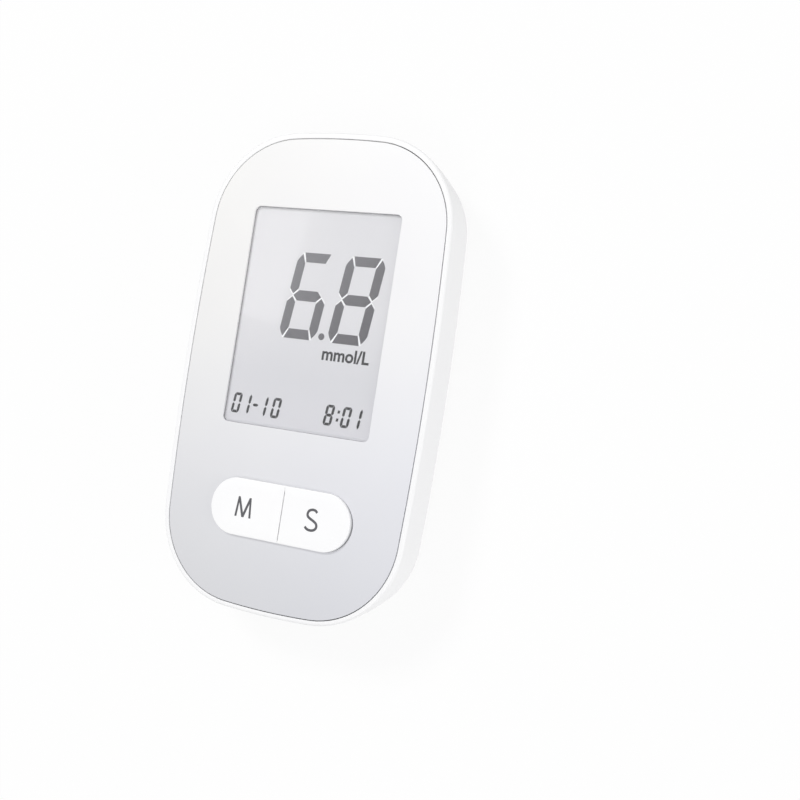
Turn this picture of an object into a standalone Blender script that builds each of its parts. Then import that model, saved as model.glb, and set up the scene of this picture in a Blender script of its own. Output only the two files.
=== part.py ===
"""Handheld glucose and uric acid meter, modelled as the separate pieces that it comes apart into.

Frame, in metres: the meter lies on its back. +Z points out of the face, +Y towards the end
with the display and the strip port, +X to a reader's right. The origin is on the surface that
the meter rests on, under the middle of the body.
"""
from math import atan2, cos, hypot, pi, sin, sqrt

import bmesh
import bpy
from mathutils import Vector

# Fits
CLEARANCE = 0.0003
BOND_LINE = 0.0001
SEAM = 0.0002
OVERRUN = 0.001

# Body outline at the rim of the face, and how it draws in towards the back
BODY_HALF_WIDTH = 0.0273
BODY_HALF_LENGTH = 0.0472
BODY_THICKNESS = 0.0150
BODY_CORNER_RADIUS = 0.0182
SIDE_CROWN_RADIUS = 0.608
END_CROWN_RADIUS = 0.150
SIDE_TAPER = 0.0020
END_TAPER = 0.0038
TAPER_POWER = 1.5
CORNER_TAPER = 1.2
RIM_FILLET = 0.0006
BACK_ROUND = 0.0050

# Housing walls and the joint between the shells
WALL = 0.0018
FACE_WALL = 0.0012
BACK_WALL = 0.0015
PARTING_HEIGHT = 0.0040
LAP_WALL = 0.0008
LAP_HEIGHT = 0.0014
LIP_GAP = 0.0003

# Face panel
RIM_WIDTH = 0.0012
PANEL_THICKNESS = 0.0015
PANEL_CORNER_RADIUS = 0.0170
PANEL_EDGE_ROUND = 0.0002

# Display window, lens and liquid crystal cell
WINDOW_HALF_WIDTH = 0.0162
WINDOW_END_MARGIN = 0.0153
WINDOW_KEYS_GAP = 0.0105
WINDOW_CORNER = 0.0012
WINDOW_LIP = 0.0005
LENS_MARGIN = 0.0018
LENS_THICKNESS = 0.0008
CELL_SIDE_MARGIN = 0.0022
CELL_TOP_MARGIN = 0.0022
CELL_BOTTOM_MARGIN = 0.0010
POLARISER_THICKNESS = 0.0002
GLASS_THICKNESS = 0.0007
CONTACT_LEDGE = 0.0024
POLARISER_MARGIN = 0.0003
FRAME_WALL = 0.0008
FRAME_LEDGE = 0.0014

# Keys and their switches
KEYS_END_MARGIN = 0.0200
KEYS_HALF_LENGTH = 0.0154
KEYS_HALF_HEIGHT = 0.0054
KEY_SPLIT = 0.0003
KEY_RISE = 0.0008
KEY_EDGE_ROUND = 0.0005
KEY_WALL = 0.0010
KEY_POST_RADIUS = 0.0013
KEY_FLANGE_WIDTH = 0.0009
KEY_FLANGE_THICKNESS = 0.0007
KEY_TRAVEL = 0.0005
SWITCH_HALF_WIDTH = 0.00225
SWITCH_HEIGHT = 0.0013
SWITCH_WELL_FLOOR = 0.00025
SWITCH_LEG_WIDTH = 0.0006
SWITCH_LEG_REACH = 0.0007
PLUNGER_RADIUS = 0.0009
PLUNGER_WELL_GAP = 0.00015

# Main board and what is soldered to it
BOARD_TOP = 0.0090
BOARD_THICKNESS = 0.0010
BOARD_EDGE_GAP = 0.0007
SOLDER = 0.0001
LEAD_WIDTH = 0.00025
LEAD_THICKNESS = 0.0002
CHIP_STANDOFF = 0.0002
CHIP_HEIGHT = 0.0014
CONTROLLER_HALF_SIDE = 0.0035
CONTROLLER_LEADS = 6
SMALL_CHIP_HALF_WIDTH = 0.0020
SMALL_CHIP_HALF_LENGTH = 0.0025
SMALL_CHIP_LEADS = 4
SUPPLY_CAPACITOR_HALF_WIDTH = 0.0018
SUPPLY_CAPACITOR_HALF_LENGTH = 0.0014
SUPPLY_CAPACITOR_HEIGHT = 0.0019
FILTER_CAPACITOR_HALF_WIDTH = 0.0010
FILTER_CAPACITOR_HALF_LENGTH = 0.0006
FILTER_CAPACITOR_HEIGHT = 0.0010
CAPACITOR_EDGE_ROUND = 0.0001
BUZZER_RADIUS = 0.0040
BUZZER_HEIGHT = 0.0035
BUZZER_PORT_RADIUS = 0.0009
CRYSTAL_RADIUS = 0.0010
CRYSTAL_LENGTH = 0.0060

# Places on the board between the battery box and the strip connector, as shares of the body's
# half width and of the length between the two
CONTROLLER_SHARES = (-0.366, 0.45)
AMPLIFIER_SHARES = (0.440, 0.66)
MEMORY_CHIP_SHARES = (0.645, 0.40)
SUPPLY_CAPACITOR_SHARES = (-0.652, 0.30)
FILTER_CAPACITOR_SHARES = ((-0.147, 0.72), (-0.055, 0.72))
BUZZER_SHARES = (0.184, 0.45)
CRYSTAL_SHARES = (-0.770, 0.45)

# Strip connector
CONNECTOR_HALF_WIDTH = 0.0052
CONNECTOR_LENGTH = 0.0076
CONNECTOR_HEIGHT = 0.0030
STRIP_SLOT_HALF_WIDTH = 0.0033
STRIP_SLOT_HEIGHT = 0.0010
STRIP_SLOT_DEPTH = 0.0060
STRIP_SLOT_FLOOR = 0.0010
PORT_MARGIN = 0.0003
SCOOP_RADIUS = 0.0026
SCOOP_DEPTH = 0.0007
CONTACT_COUNT = 4
CONTACT_PITCH = 0.0015
CONTACT_WIDTH = 0.0005
CONTACT_THICKNESS = 0.0002
CONTACT_CHANNEL = 0.0007
CHANNEL_MARGIN = 0.0002
CONTACT_BEND = 0.0025
CONTACT_TAIL = 0.0008

# Coin cells, their pocket and contacts
COIN_RADIUS = 0.0100
COIN_HEIGHT = 0.0032
COIN_CAP_RADIUS = 0.0084
COIN_CAP_RISE = 0.0004
COIN_EDGE = 0.0002
COIN_GAP = 0.0006
POCKET_END_INSET = 0.0116
POCKET_GAP = 0.0005
POCKET_HEADROOM = 0.0006
POCKET_WALL = 0.0013
POCKET_ROOF = 0.0010
LEAF_WIDTH = 0.0030
LEAF_THICKNESS = 0.0002
LEAF_LENGTH = 0.0085
LEAF_SLOT_MARGIN = 0.0003
LEAF_ROOT = 0.0050
CLIP_OFFSET = 0.0020

# Battery door and the frame that it slides in
DOOR_HALF_WIDTH = 0.0125
DOOR_THICKNESS = 0.0016
DOOR_RECESS = 0.00015
DOOR_OVERLAP = 0.0040
DOOR_FRAME_WALL = 0.0018
DOOR_FRAME_HEIGHT = 0.0036
RAIL_WIDTH = 0.0008
RAIL_THICKNESS = 0.00075
GRIP_COUNT = 5
GRIP_PITCH = 0.0018
GRIP_WIDTH = 0.0008
GRIP_DEPTH = 0.0004
GRIP_HALF_LENGTH = 0.0050
GRIP_END_INSET = 0.0162

# Screws and their bosses
TOP_SCREW_SIDE_INSET = 0.0123
TOP_SCREW_INSET = 0.0092
LOW_SCREW_WALL = 0.0011
LOW_SCREW_INSET = 0.0112
BOSS_RADIUS = 0.0024
POST_RADIUS = 0.0032
SCREW_RADIUS = 0.0010
SCREW_HEAD_RADIUS = 0.0020
SCREW_HEAD_HEIGHT = 0.0012
SCREW_SEAT = 0.0024
SCREW_LENGTH = 0.0070
BOARD_SCREW_INSET = 0.0059
BOARD_POST_GAP = 0.0008
BOARD_POST_RADIUS = 0.0019
BOARD_SCREW_RADIUS = 0.0006
BOARD_SCREW_HEAD_RADIUS = 0.0016
BOARD_SCREW_HEAD_HEIGHT = 0.0009
BOARD_SCREW_LENGTH = 0.0030
HEAD_FACE_SHARE = 0.75
RECESS_REACH_SHARE = 0.60
RECESS_WIDTH_SHARE = 0.28
RECESS_DEPTH_SHARE = 0.50

# Facets
CORNER_STEPS = 9
SIDE_STEPS = 3
END_STEPS = 2
ROUND_SIDES = 24
SMALL_SIDES = 16

# Heights that follow from the sizes above
PANEL_BOTTOM = BODY_THICKNESS - PANEL_THICKNESS
RECESS_FLOOR = PANEL_BOTTOM - CLEARANCE
CEILING = RECESS_FLOOR - FACE_WALL
LENS_TOP = BODY_THICKNESS - WINDOW_LIP - BOND_LINE
LENS_BOTTOM = LENS_TOP - LENS_THICKNESS
CELL_TOP = LENS_BOTTOM - CLEARANCE
BOARD_BOTTOM = BOARD_TOP - BOARD_THICKNESS
KEY_FLANGE_TOP = CEILING - CLEARANCE
KEY_FLANGE_BOTTOM = KEY_FLANGE_TOP - KEY_FLANGE_THICKNESS
SHELL_BOTTOM = PARTING_HEIGHT + SEAM / 2
COVER_TOP = PARTING_HEIGHT - SEAM / 2
LIP_TOP = SHELL_BOTTOM + LAP_HEIGHT - LIP_GAP
DOOR_INNER = DOOR_RECESS + DOOR_THICKNESS
DOOR_SEAT = DOOR_INNER + CLEARANCE
COIN_BOTTOM = DOOR_SEAT
COIN_TOP = COIN_BOTTOM + COIN_HEIGHT
POCKET_CEILING = COIN_TOP + POCKET_HEADROOM
BOX_TOP = POCKET_CEILING + POCKET_ROOF

# Display and key places that follow from the sizes above
KEYS_CENTRE_Y = KEYS_END_MARGIN - BODY_HALF_LENGTH
WINDOW_HIGH_Y = BODY_HALF_LENGTH - WINDOW_END_MARGIN
WINDOW_LOW_Y = KEYS_CENTRE_Y + KEYS_HALF_HEIGHT + WINDOW_KEYS_GAP
WINDOW_HALF_LENGTH = (WINDOW_HIGH_Y - WINDOW_LOW_Y) / 2
WINDOW_CENTRE_Y = (WINDOW_HIGH_Y + WINDOW_LOW_Y) / 2
CELL_HALF_WIDTH = WINDOW_HALF_WIDTH + CELL_SIDE_MARGIN
LENS_HALF_WIDTH = WINDOW_HALF_WIDTH + LENS_MARGIN
LENS_HALF_LENGTH = WINDOW_HALF_LENGTH + LENS_MARGIN
CELL_HIGH_Y = WINDOW_CENTRE_Y + WINDOW_HALF_LENGTH + CELL_TOP_MARGIN
CELL_LOW_Y = WINDOW_CENTRE_Y - WINDOW_HALF_LENGTH - CELL_BOTTOM_MARGIN
LEDGE_LOW_Y = CELL_LOW_Y - CONTACT_LEDGE
FRAME_HALF_WIDTH = CELL_HALF_WIDTH + CLEARANCE + FRAME_WALL
FRAME_HIGH_Y = CELL_HIGH_Y + CLEARANCE + FRAME_WALL
FRAME_LOW_Y = LEDGE_LOW_Y - CLEARANCE - FRAME_WALL
UPPER_GLASS_TOP = CELL_TOP - POLARISER_THICKNESS - BOND_LINE
UPPER_GLASS_BOTTOM = UPPER_GLASS_TOP - GLASS_THICKNESS
LOWER_GLASS_TOP = UPPER_GLASS_BOTTOM - BOND_LINE
LOWER_GLASS_BOTTOM = LOWER_GLASS_TOP - GLASS_THICKNESS
REFLECTOR_TOP = LOWER_GLASS_BOTTOM - BOND_LINE
CELL_BOTTOM = REFLECTOR_TOP - POLARISER_THICKNESS
SWITCH_BOTTOM = BOARD_TOP + SOLDER
SWITCH_TOP = SWITCH_BOTTOM + SWITCH_HEIGHT
PLUNGER_TOP = KEY_FLANGE_BOTTOM - CLEARANCE
WELL_FLOOR = SWITCH_BOTTOM + SWITCH_WELL_FLOOR
PLUNGER_BOTTOM = WELL_FLOOR + KEY_TRAVEL + SOLDER
KEY_CENTRE_X = KEYS_HALF_LENGTH / 2

# Connector, cells and door places that follow from the sizes above
CONNECTOR_TOP = BOARD_BOTTOM - SOLDER
CONNECTOR_BOTTOM = CONNECTOR_TOP - CONNECTOR_HEIGHT
STRIP_FLOOR = CONNECTOR_BOTTOM + STRIP_SLOT_FLOOR
BOX_HALF_WIDTH = COIN_RADIUS + POCKET_GAP + POCKET_WALL
COIN_SPACING = 2 * COIN_RADIUS + COIN_GAP
POCKET_HALF_LENGTH = COIN_SPACING / 2 + COIN_RADIUS + POCKET_GAP
POCKET_CENTRE_Y = POCKET_HALF_LENGTH + POCKET_END_INSET - BODY_HALF_LENGTH
BOX_END_Y = POCKET_CENTRE_Y + POCKET_HALF_LENGTH + POCKET_WALL
DOOR_TOP_Y = POCKET_CENTRE_Y + POCKET_HALF_LENGTH + DOOR_OVERLAP
GRIP_CENTRE_Y = GRIP_END_INSET - BODY_HALF_LENGTH
COIN_PLACES = ((0, POCKET_CENTRE_Y - COIN_SPACING / 2), (0, POCKET_CENTRE_Y + COIN_SPACING / 2))

# Screw places that follow from the sizes above
GROOVE_HALF_WIDTH = DOOR_HALF_WIDTH + RAIL_WIDTH + CLEARANCE
HEAD_RECESS_RADIUS = SCREW_HEAD_RADIUS + CLEARANCE
TOP_SCREW_X = BODY_HALF_WIDTH - TOP_SCREW_SIDE_INSET
TOP_SCREW_Y = BODY_HALF_LENGTH - TOP_SCREW_INSET
LOW_SCREW_X = GROOVE_HALF_WIDTH + LOW_SCREW_WALL + HEAD_RECESS_RADIUS
LOW_SCREW_Y = LOW_SCREW_INSET - BODY_HALF_LENGTH
CASE_SCREWS = ((-TOP_SCREW_X, TOP_SCREW_Y), (TOP_SCREW_X, TOP_SCREW_Y),
               (-LOW_SCREW_X, LOW_SCREW_Y), (LOW_SCREW_X, LOW_SCREW_Y))
BOARD_SCREW_X = BODY_HALF_WIDTH - BOARD_SCREW_INSET
BOARD_SCREW_Y = FRAME_LOW_Y - BOARD_POST_GAP - BOARD_POST_RADIUS
BOARD_LOW_Y = LOW_SCREW_Y + BOSS_RADIUS + BOARD_EDGE_GAP
BOARD_SCREWS = ((-BOARD_SCREW_X, BOARD_SCREW_Y), (BOARD_SCREW_X, BOARD_SCREW_Y))


# Scene helpers

def start_scene():
    """Empty the scene and give it one collection for the pieces and one for the cutters."""
    for old in list(bpy.data.objects):
        bpy.data.objects.remove(old, do_unlink=True)
    pieces = bpy.data.collections.new("glucose_uric_acid_meter")
    tools = bpy.data.collections.new("cutters")
    for group in (pieces, tools):
        bpy.context.scene.collection.children.link(group)
    return pieces, tools


PIECES, CUTTERS = start_scene()


def material(name, colour, roughness, metallic=0.0, alpha=1.0):
    """A Principled material with one plain finish."""
    finish = bpy.data.materials.new(name)
    finish.use_nodes = True
    shader = finish.node_tree.nodes["Principled BSDF"]
    shader.inputs["Base Color"].default_value = (*colour, 1.0)
    shader.inputs["Roughness"].default_value = roughness
    shader.inputs["Metallic"].default_value = metallic
    shader.inputs["Alpha"].default_value = alpha
    return finish


WHITE_SHELL = material("white_shell", (0.90, 0.90, 0.91), 0.35)
GREY_PANEL = material("grey_panel", (0.78, 0.79, 0.82), 0.40)
WHITE_KEY = material("white_key", (0.93, 0.93, 0.94), 0.30)
CLEAR_LENS = material("clear_lens", (0.92, 0.94, 0.95), 0.05, alpha=0.35)
DISPLAY_GREY = material("display_grey", (0.70, 0.71, 0.74), 0.30)
GLASS = material("display_glass", (0.80, 0.84, 0.84), 0.05, alpha=0.5)
FRAME_WHITE = material("frame_white", (0.85, 0.85, 0.84), 0.5)
RUBBER = material("connector_rubber", (0.16, 0.16, 0.17), 0.7)
BOARD_GREEN = material("board_green", (0.03, 0.20, 0.09), 0.45)
CHIP_BLACK = material("chip_black", (0.02, 0.02, 0.02), 0.5)
BEIGE = material("connector_beige", (0.72, 0.66, 0.52), 0.5)
CERAMIC = material("capacitor_ceramic", (0.45, 0.33, 0.20), 0.5)
GOLD = material("contact_gold", (0.83, 0.62, 0.28), 0.25, 1.0)
NICKEL = material("contact_nickel", (0.72, 0.71, 0.68), 0.28, 1.0)
STEEL = material("cell_steel", (0.75, 0.75, 0.76), 0.25, 1.0)
SCREW_STEEL = material("screw_steel", (0.45, 0.45, 0.46), 0.35, 1.0)


def adopt(item, name, finish=None):
    """Name an object and file it with the pieces, or with the cutters when it has no finish."""
    for group in list(item.users_collection):
        group.objects.unlink(item)
    item.name = name
    item.data.name = name
    item.data.materials.clear()
    if finish is None:
        CUTTERS.objects.link(item)
        item.hide_render = True
        item.display_type = "WIRE"
    else:
        PIECES.objects.link(item)
        item.data.materials.append(finish)
    return item


def from_bmesh(shape, name, finish):
    """Turn a bmesh into a named object with its faces pointing out."""
    bmesh.ops.recalc_face_normals(shape, faces=shape.faces)
    mesh = bpy.data.meshes.new(name)
    shape.to_mesh(mesh)
    shape.free()
    item = bpy.data.objects.new(name, mesh)
    bpy.context.scene.collection.objects.link(item)
    return adopt(item, name, finish)


def boolean(target, other, operation):
    """Cut, join or intersect a piece with another solid, kept as a modifier."""
    step = target.modifiers.new(f"{operation.lower()}_{other.name}", "BOOLEAN")
    step.operation = operation
    step.object = other
    step.solver = "EXACT"


def cut(target, *others):
    for other in others:
        boolean(target, other, "DIFFERENCE")


def join(target, *others):
    for other in others:
        boolean(target, other, "UNION")


def soften(target, width, segments=2):
    """Round a piece's sharp edges."""
    step = target.modifiers.new("soften", "BEVEL")
    step.width = width
    step.segments = segments
    step.limit_method = "ANGLE"


def smooth(target):
    """Shade a round piece smooth, with its edges kept sharp."""
    target.data.shade_smooth()
    target.data.set_sharp_from_angle(angle=pi / 6)


# Solids

def box(name, low, high, finish=None):
    """A block between two corners."""
    bpy.ops.mesh.primitive_cube_add(size=1)
    item = bpy.context.object
    item.scale = [b - a for a, b in zip(low, high)]
    item.location = [(a + b) / 2 for a, b in zip(low, high)]
    bpy.ops.object.transform_apply(location=False, rotation=False, scale=True)
    return adopt(item, name, finish)


def rod(name, radius, centre, low, high, finish=None, sides=ROUND_SIDES):
    """An upright cylinder between two heights."""
    bpy.ops.mesh.primitive_cylinder_add(vertices=sides, radius=radius, depth=high - low)
    item = bpy.context.object
    item.location = (centre[0], centre[1], (low + high) / 2)
    adopt(item, name, finish)
    smooth(item)
    return item


def plate(name, outline, low, high, finish=None):
    """A flat outline with a thickness, made from a filled curve."""
    curve = bpy.data.curves.new(name, "CURVE")
    curve.dimensions = "2D"
    curve.fill_mode = "BOTH"
    curve.extrude = (high - low) / 2
    line = curve.splines.new("POLY")
    line.points.add(len(outline) - 1)
    for point, (x, y) in zip(line.points, outline):
        point.co = (x, y, 0, 1)
    line.use_cyclic_u = True
    guide = bpy.data.objects.new(name + "_outline", curve)
    bpy.context.scene.collection.objects.link(guide)
    guide.location.z = (low + high) / 2
    bpy.context.view_layer.update()
    mesh = bpy.data.meshes.new_from_object(guide.evaluated_get(bpy.context.evaluated_depsgraph_get()))
    place = guide.matrix_world.copy()
    bpy.data.objects.remove(guide, do_unlink=True)
    shape = bmesh.new()
    shape.from_mesh(mesh)
    bmesh.ops.remove_doubles(shape, verts=shape.verts, dist=BOND_LINE / 10)
    bpy.data.meshes.remove(mesh)
    item = from_bmesh(shape, name, finish)
    item.matrix_world = place
    return item


def loft(name, levels, finish=None):
    """A solid through outlines at rising heights, each with the same number of points."""
    shape = bmesh.new()
    rings = [[shape.verts.new((x, y, height)) for x, y in outline] for height, outline in levels]
    for lower, upper in zip(rings, rings[1:]):
        for a, b, c, d in zip(lower, lower[1:] + lower[:1], upper[1:] + upper[:1], upper):
            shape.faces.new((a, b, c, d))
    shape.faces.new(reversed(rings[0]))
    shape.faces.new(rings[-1])
    return from_bmesh(shape, name, finish)


def turned(name, profile, centre, finish, sides=SMALL_SIDES):
    """A solid of revolution about an upright axis; the profile runs top to bottom."""
    mesh = bpy.data.meshes.new(name)
    points = [(radius, 0, height) for radius, height in profile]
    mesh.from_pydata(points, [(i, i + 1) for i in range(len(points) - 1)], [])
    item = bpy.data.objects.new(name, mesh)
    bpy.context.scene.collection.objects.link(item)
    adopt(item, name, finish)
    item.location = (*centre, 0)
    turn = item.modifiers.new("turn", "SCREW")
    turn.steps = sides
    turn.render_steps = sides
    turn.use_merge_vertices = True
    turn.merge_threshold = BOND_LINE / 10
    return item


def strip(name, path, half_width, thickness, finish, along="X"):
    """A bent metal strip: a line in an upright plane, spread along X or Y and given a thickness."""
    mesh = bpy.data.meshes.new(name)
    sides = (-half_width, half_width)
    if along == "X":
        points = [(side, run, height) for run, height in path for side in sides]
    else:
        points = [(run, side, height) for run, height in path for side in sides]
    faces = [(2 * i, 2 * i + 1, 2 * i + 3, 2 * i + 2) for i in range(len(path) - 1)]
    mesh.from_pydata(points, [], faces)
    item = bpy.data.objects.new(name, mesh)
    bpy.context.scene.collection.objects.link(item)
    adopt(item, name, finish)
    wall = item.modifiers.new("wall", "SOLIDIFY")
    wall.thickness = thickness
    wall.offset = 0
    return item


# Outlines

def arc(centre, radius, start, end, steps):
    """Points of an arc, from one angle to another."""
    angles = [start + (end - start) * i / steps for i in range(steps + 1)]
    return [(centre[0] + radius * cos(a), centre[1] + radius * sin(a)) for a in angles]


def mirrored(quarter):
    """A closed outline from its first quarter, which runs from the +X axis to the +Y axis."""
    half = quarter + [(-x, y) for x, y in reversed(quarter[:-1])]
    return half + [(-x, -y) for x, y in half[1:-1]]


def crowned_outline(half_width, half_length, corner_radius, side_crown, end_crown):
    """A rounded rectangle whose sides and ends are wide arcs that run into round corners."""
    side_centre = half_width - side_crown
    end_centre = half_length - end_crown
    side_reach = side_crown - corner_radius
    end_reach = end_crown - corner_radius
    apart = hypot(side_centre, end_centre)
    along = (side_reach ** 2 - end_reach ** 2 + apart ** 2) / (2 * apart)
    across = sqrt(side_reach ** 2 - along ** 2)
    unit = (-side_centre / apart, end_centre / apart)
    middle = (side_centre + along * unit[0], along * unit[1])
    corner = max(((middle[0] + turn * across * unit[1], middle[1] - turn * across * unit[0])
                  for turn in (1, -1)), key=sum)
    side_end = atan2(corner[1], corner[0] - side_centre)
    corner_end = atan2(corner[1] - end_centre, corner[0])
    side = arc((side_centre, 0), side_crown, 0, side_end, SIDE_STEPS)
    bend = arc(corner, corner_radius, side_end, corner_end, CORNER_STEPS)
    end = arc((0, end_centre), end_crown, corner_end, pi / 2, END_STEPS)
    return mirrored(side + bend[1:] + end[1:])


def quarter_inset(radius, into):
    """How far a quarter round has turned in, at a depth into it."""
    return radius - sqrt(max(radius ** 2 - into ** 2, 0)) if into > 0 else 0


def body_outline(height, inward=0):
    """The body's outline at a height, or one that lies inward of it by a wall."""
    depth = BODY_THICKNESS - height
    turn = quarter_inset(BACK_ROUND, BACK_ROUND - height)
    turn += quarter_inset(RIM_FILLET, RIM_FILLET - depth)
    draw = (depth / BODY_THICKNESS) ** TAPER_POWER
    side = SIDE_TAPER * draw + turn
    end = END_TAPER * draw + turn
    radius = BODY_CORNER_RADIUS - CORNER_TAPER * end
    return crowned_outline(BODY_HALF_WIDTH - side - inward, BODY_HALF_LENGTH - end - inward,
                           radius - inward, SIDE_CROWN_RADIUS - inward, END_CROWN_RADIUS - inward)


def body_levels(low, high, inward=0, round_steps=5, wall_steps=2, fillet_steps=3):
    """The body's outlines between two heights, closest together where its section turns."""
    wall_low = BACK_ROUND
    wall_high = BODY_THICKNESS - RIM_FILLET
    heights = [BACK_ROUND * (1 - sin(pi / 2 * i / round_steps)) for i in range(round_steps)]
    heights += [wall_low + (wall_high - wall_low) * i / wall_steps for i in range(wall_steps + 1)]
    heights += [wall_high + RIM_FILLET * sin(pi / 2 * i / fillet_steps)
                for i in range(1, fillet_steps)]
    heights = sorted(h for h in set(heights) if low + BOND_LINE < h < high - BOND_LINE)
    return [(h, body_outline(h, inward)) for h in [low, *heights, high]]


def connector_front_y():
    """The strip connector stands just inside the end wall, at the wall's narrowest height."""
    return max(y for x, y in body_outline(CONNECTOR_BOTTOM, WALL + CLEARANCE)) - CLEARANCE


def panel_outline(grow=0):
    """The face panel's outline, or one that is wider by a clearance."""
    inset = RIM_WIDTH
    return crowned_outline(BODY_HALF_WIDTH - inset + grow, BODY_HALF_LENGTH - inset + grow,
                           PANEL_CORNER_RADIUS + grow, SIDE_CROWN_RADIUS + grow,
                           END_CROWN_RADIUS + grow)


def rounded_rectangle(half_width, half_length, radius, centre_y=0, steps=4):
    """A rectangle with round corners."""
    corner = arc((half_width - radius, half_length - radius), radius, 0, pi / 2, steps)
    quarters = corner + [(-x, y) for x, y in reversed(corner)]
    quarters += [(-x, -y) for x, y in quarters]
    return [(x, y + centre_y) for x, y in quarters]


def pill(half_length, radius, centre, upright=False, steps=12):
    """Two half rounds joined by straight sides."""
    reach = half_length - radius
    ends = arc((reach, 0), radius, -pi / 2, pi / 2, steps)
    ends += arc((-reach, 0), radius, pi / 2, 3 * pi / 2, steps)
    if upright:
        ends = [(-y, x) for x, y in ends]
    return [(x + centre[0], y + centre[1]) for x, y in ends]


def key_outline(side, grow=0, steps=12):
    """One key of the pair: a half pill that stops at the split, on the side given by its sign.

    Growth widens the round end only, for the flange; a negative one draws every side in.
    """
    reach = KEYS_HALF_LENGTH - KEYS_HALF_HEIGHT
    radius = KEYS_HALF_HEIGHT + grow
    end = arc((reach, KEYS_CENTRE_Y), radius, -pi / 2, pi / 2, steps)
    split = KEY_SPLIT / 2 - min(grow, 0)
    half = [(split, KEYS_CENTRE_Y - radius)] + end + [(split, KEYS_CENTRE_Y + radius)]
    return [(side * x, y) for x, y in half]


# Front half of the housing

def make_front_shell():
    shell = loft("front_shell", body_levels(SHELL_BOTTOM, BODY_THICKNESS), WHITE_SHELL)
    cut(shell, loft("front_cavity", body_levels(SHELL_BOTTOM - OVERRUN, CEILING, WALL)))
    lap_top = SHELL_BOTTOM + LAP_HEIGHT
    cut(shell, loft("front_lap", body_levels(SHELL_BOTTOM - OVERRUN, lap_top, LAP_WALL)))
    for i, place in enumerate(CASE_SCREWS, 1):
        foot = PARTING_HEIGHT + CLEARANCE
        join(shell, rod(f"boss_{i}", BOSS_RADIUS, place, foot, CEILING + FACE_WALL / 2))
    for i, place in enumerate(BOARD_SCREWS, 1):
        foot = BOARD_TOP + CLEARANCE
        join(shell, rod(f"board_post_{i}", BOARD_POST_RADIUS, place, foot, CEILING + FACE_WALL / 2))
    cut(shell, plate("panel_recess", panel_outline(CLEARANCE), RECESS_FLOOR,
                     BODY_THICKNESS + OVERRUN))
    cut(shell, box("display_opening", (-FRAME_HALF_WIDTH - CLEARANCE, FRAME_LOW_Y - CLEARANCE,
                                       CEILING - OVERRUN),
                   (FRAME_HALF_WIDTH + CLEARANCE, FRAME_HIGH_Y + CLEARANCE,
                    RECESS_FLOOR + OVERRUN)))
    cut(shell, keys_opening("shell_key_opening", CEILING - OVERRUN, RECESS_FLOOR + OVERRUN))
    for i, place in enumerate(CASE_SCREWS, 1):
        foot = PARTING_HEIGHT - OVERRUN
        hole_top = SCREW_SEAT - CLEARANCE + SCREW_LENGTH + CLEARANCE
        cut(shell, rod(f"boss_hole_{i}", SCREW_RADIUS + CLEARANCE, place, foot, hole_top,
                       sides=SMALL_SIDES))
    for i, place in enumerate(BOARD_SCREWS, 1):
        hole_top = BOARD_BOTTOM - CLEARANCE + BOARD_SCREW_LENGTH + CLEARANCE
        cut(shell, rod(f"post_hole_{i}", BOARD_SCREW_RADIUS + CLEARANCE, place,
                       BOARD_TOP - OVERRUN, hole_top, sides=SMALL_SIDES))
    cut(shell, *strip_port())
    return shell


def keys_opening(name, low, high):
    """The pill that both keys stand in, with running clearance."""
    outline = pill(KEYS_HALF_LENGTH + CLEARANCE, KEYS_HALF_HEIGHT + CLEARANCE, (0, KEYS_CENTRE_Y))
    return plate(name, outline, low, high)


def strip_port():
    """The slot through the end wall, and the scoop that leads a strip into it."""
    low = STRIP_FLOOR - PORT_MARGIN
    high = STRIP_FLOOR + STRIP_SLOT_HEIGHT + PORT_MARGIN
    inside_y = connector_front_y() - OVERRUN
    half = STRIP_SLOT_HALF_WIDTH + PORT_MARGIN
    slot = box("strip_slot", (-half, inside_y, low),
               (half, BODY_HALF_LENGTH + OVERRUN, high))
    surface_y = max(y for x, y in body_outline((low + high) / 2))
    bpy.ops.mesh.primitive_cylinder_add(vertices=2 * ROUND_SIDES, radius=SCOOP_RADIUS,
                                        depth=2 * half, rotation=(0, pi / 2, 0))
    scoop = adopt(bpy.context.object, "strip_scoop")
    scoop.location = (0, surface_y + SCOOP_RADIUS - SCOOP_DEPTH, (low + high) / 2)
    return slot, scoop


def make_front_panel():
    panel = plate("front_panel", panel_outline(), PANEL_BOTTOM, BODY_THICKNESS, GREY_PANEL)
    soften(panel, PANEL_EDGE_ROUND, 1)
    window = rounded_rectangle(WINDOW_HALF_WIDTH, WINDOW_HALF_LENGTH, WINDOW_CORNER,
                               WINDOW_CENTRE_Y)
    cut(panel, plate("window", window, PANEL_BOTTOM - OVERRUN, BODY_THICKNESS + OVERRUN))
    seat = rounded_rectangle(LENS_HALF_WIDTH + CLEARANCE, LENS_HALF_LENGTH + CLEARANCE,
                             WINDOW_CORNER, WINDOW_CENTRE_Y)
    cut(panel, plate("lens_seat", seat, PANEL_BOTTOM - OVERRUN, LENS_TOP + BOND_LINE))
    cut(panel, keys_opening("panel_key_opening", PANEL_BOTTOM - OVERRUN,
                            BODY_THICKNESS + OVERRUN))
    return panel


# Display

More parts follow.
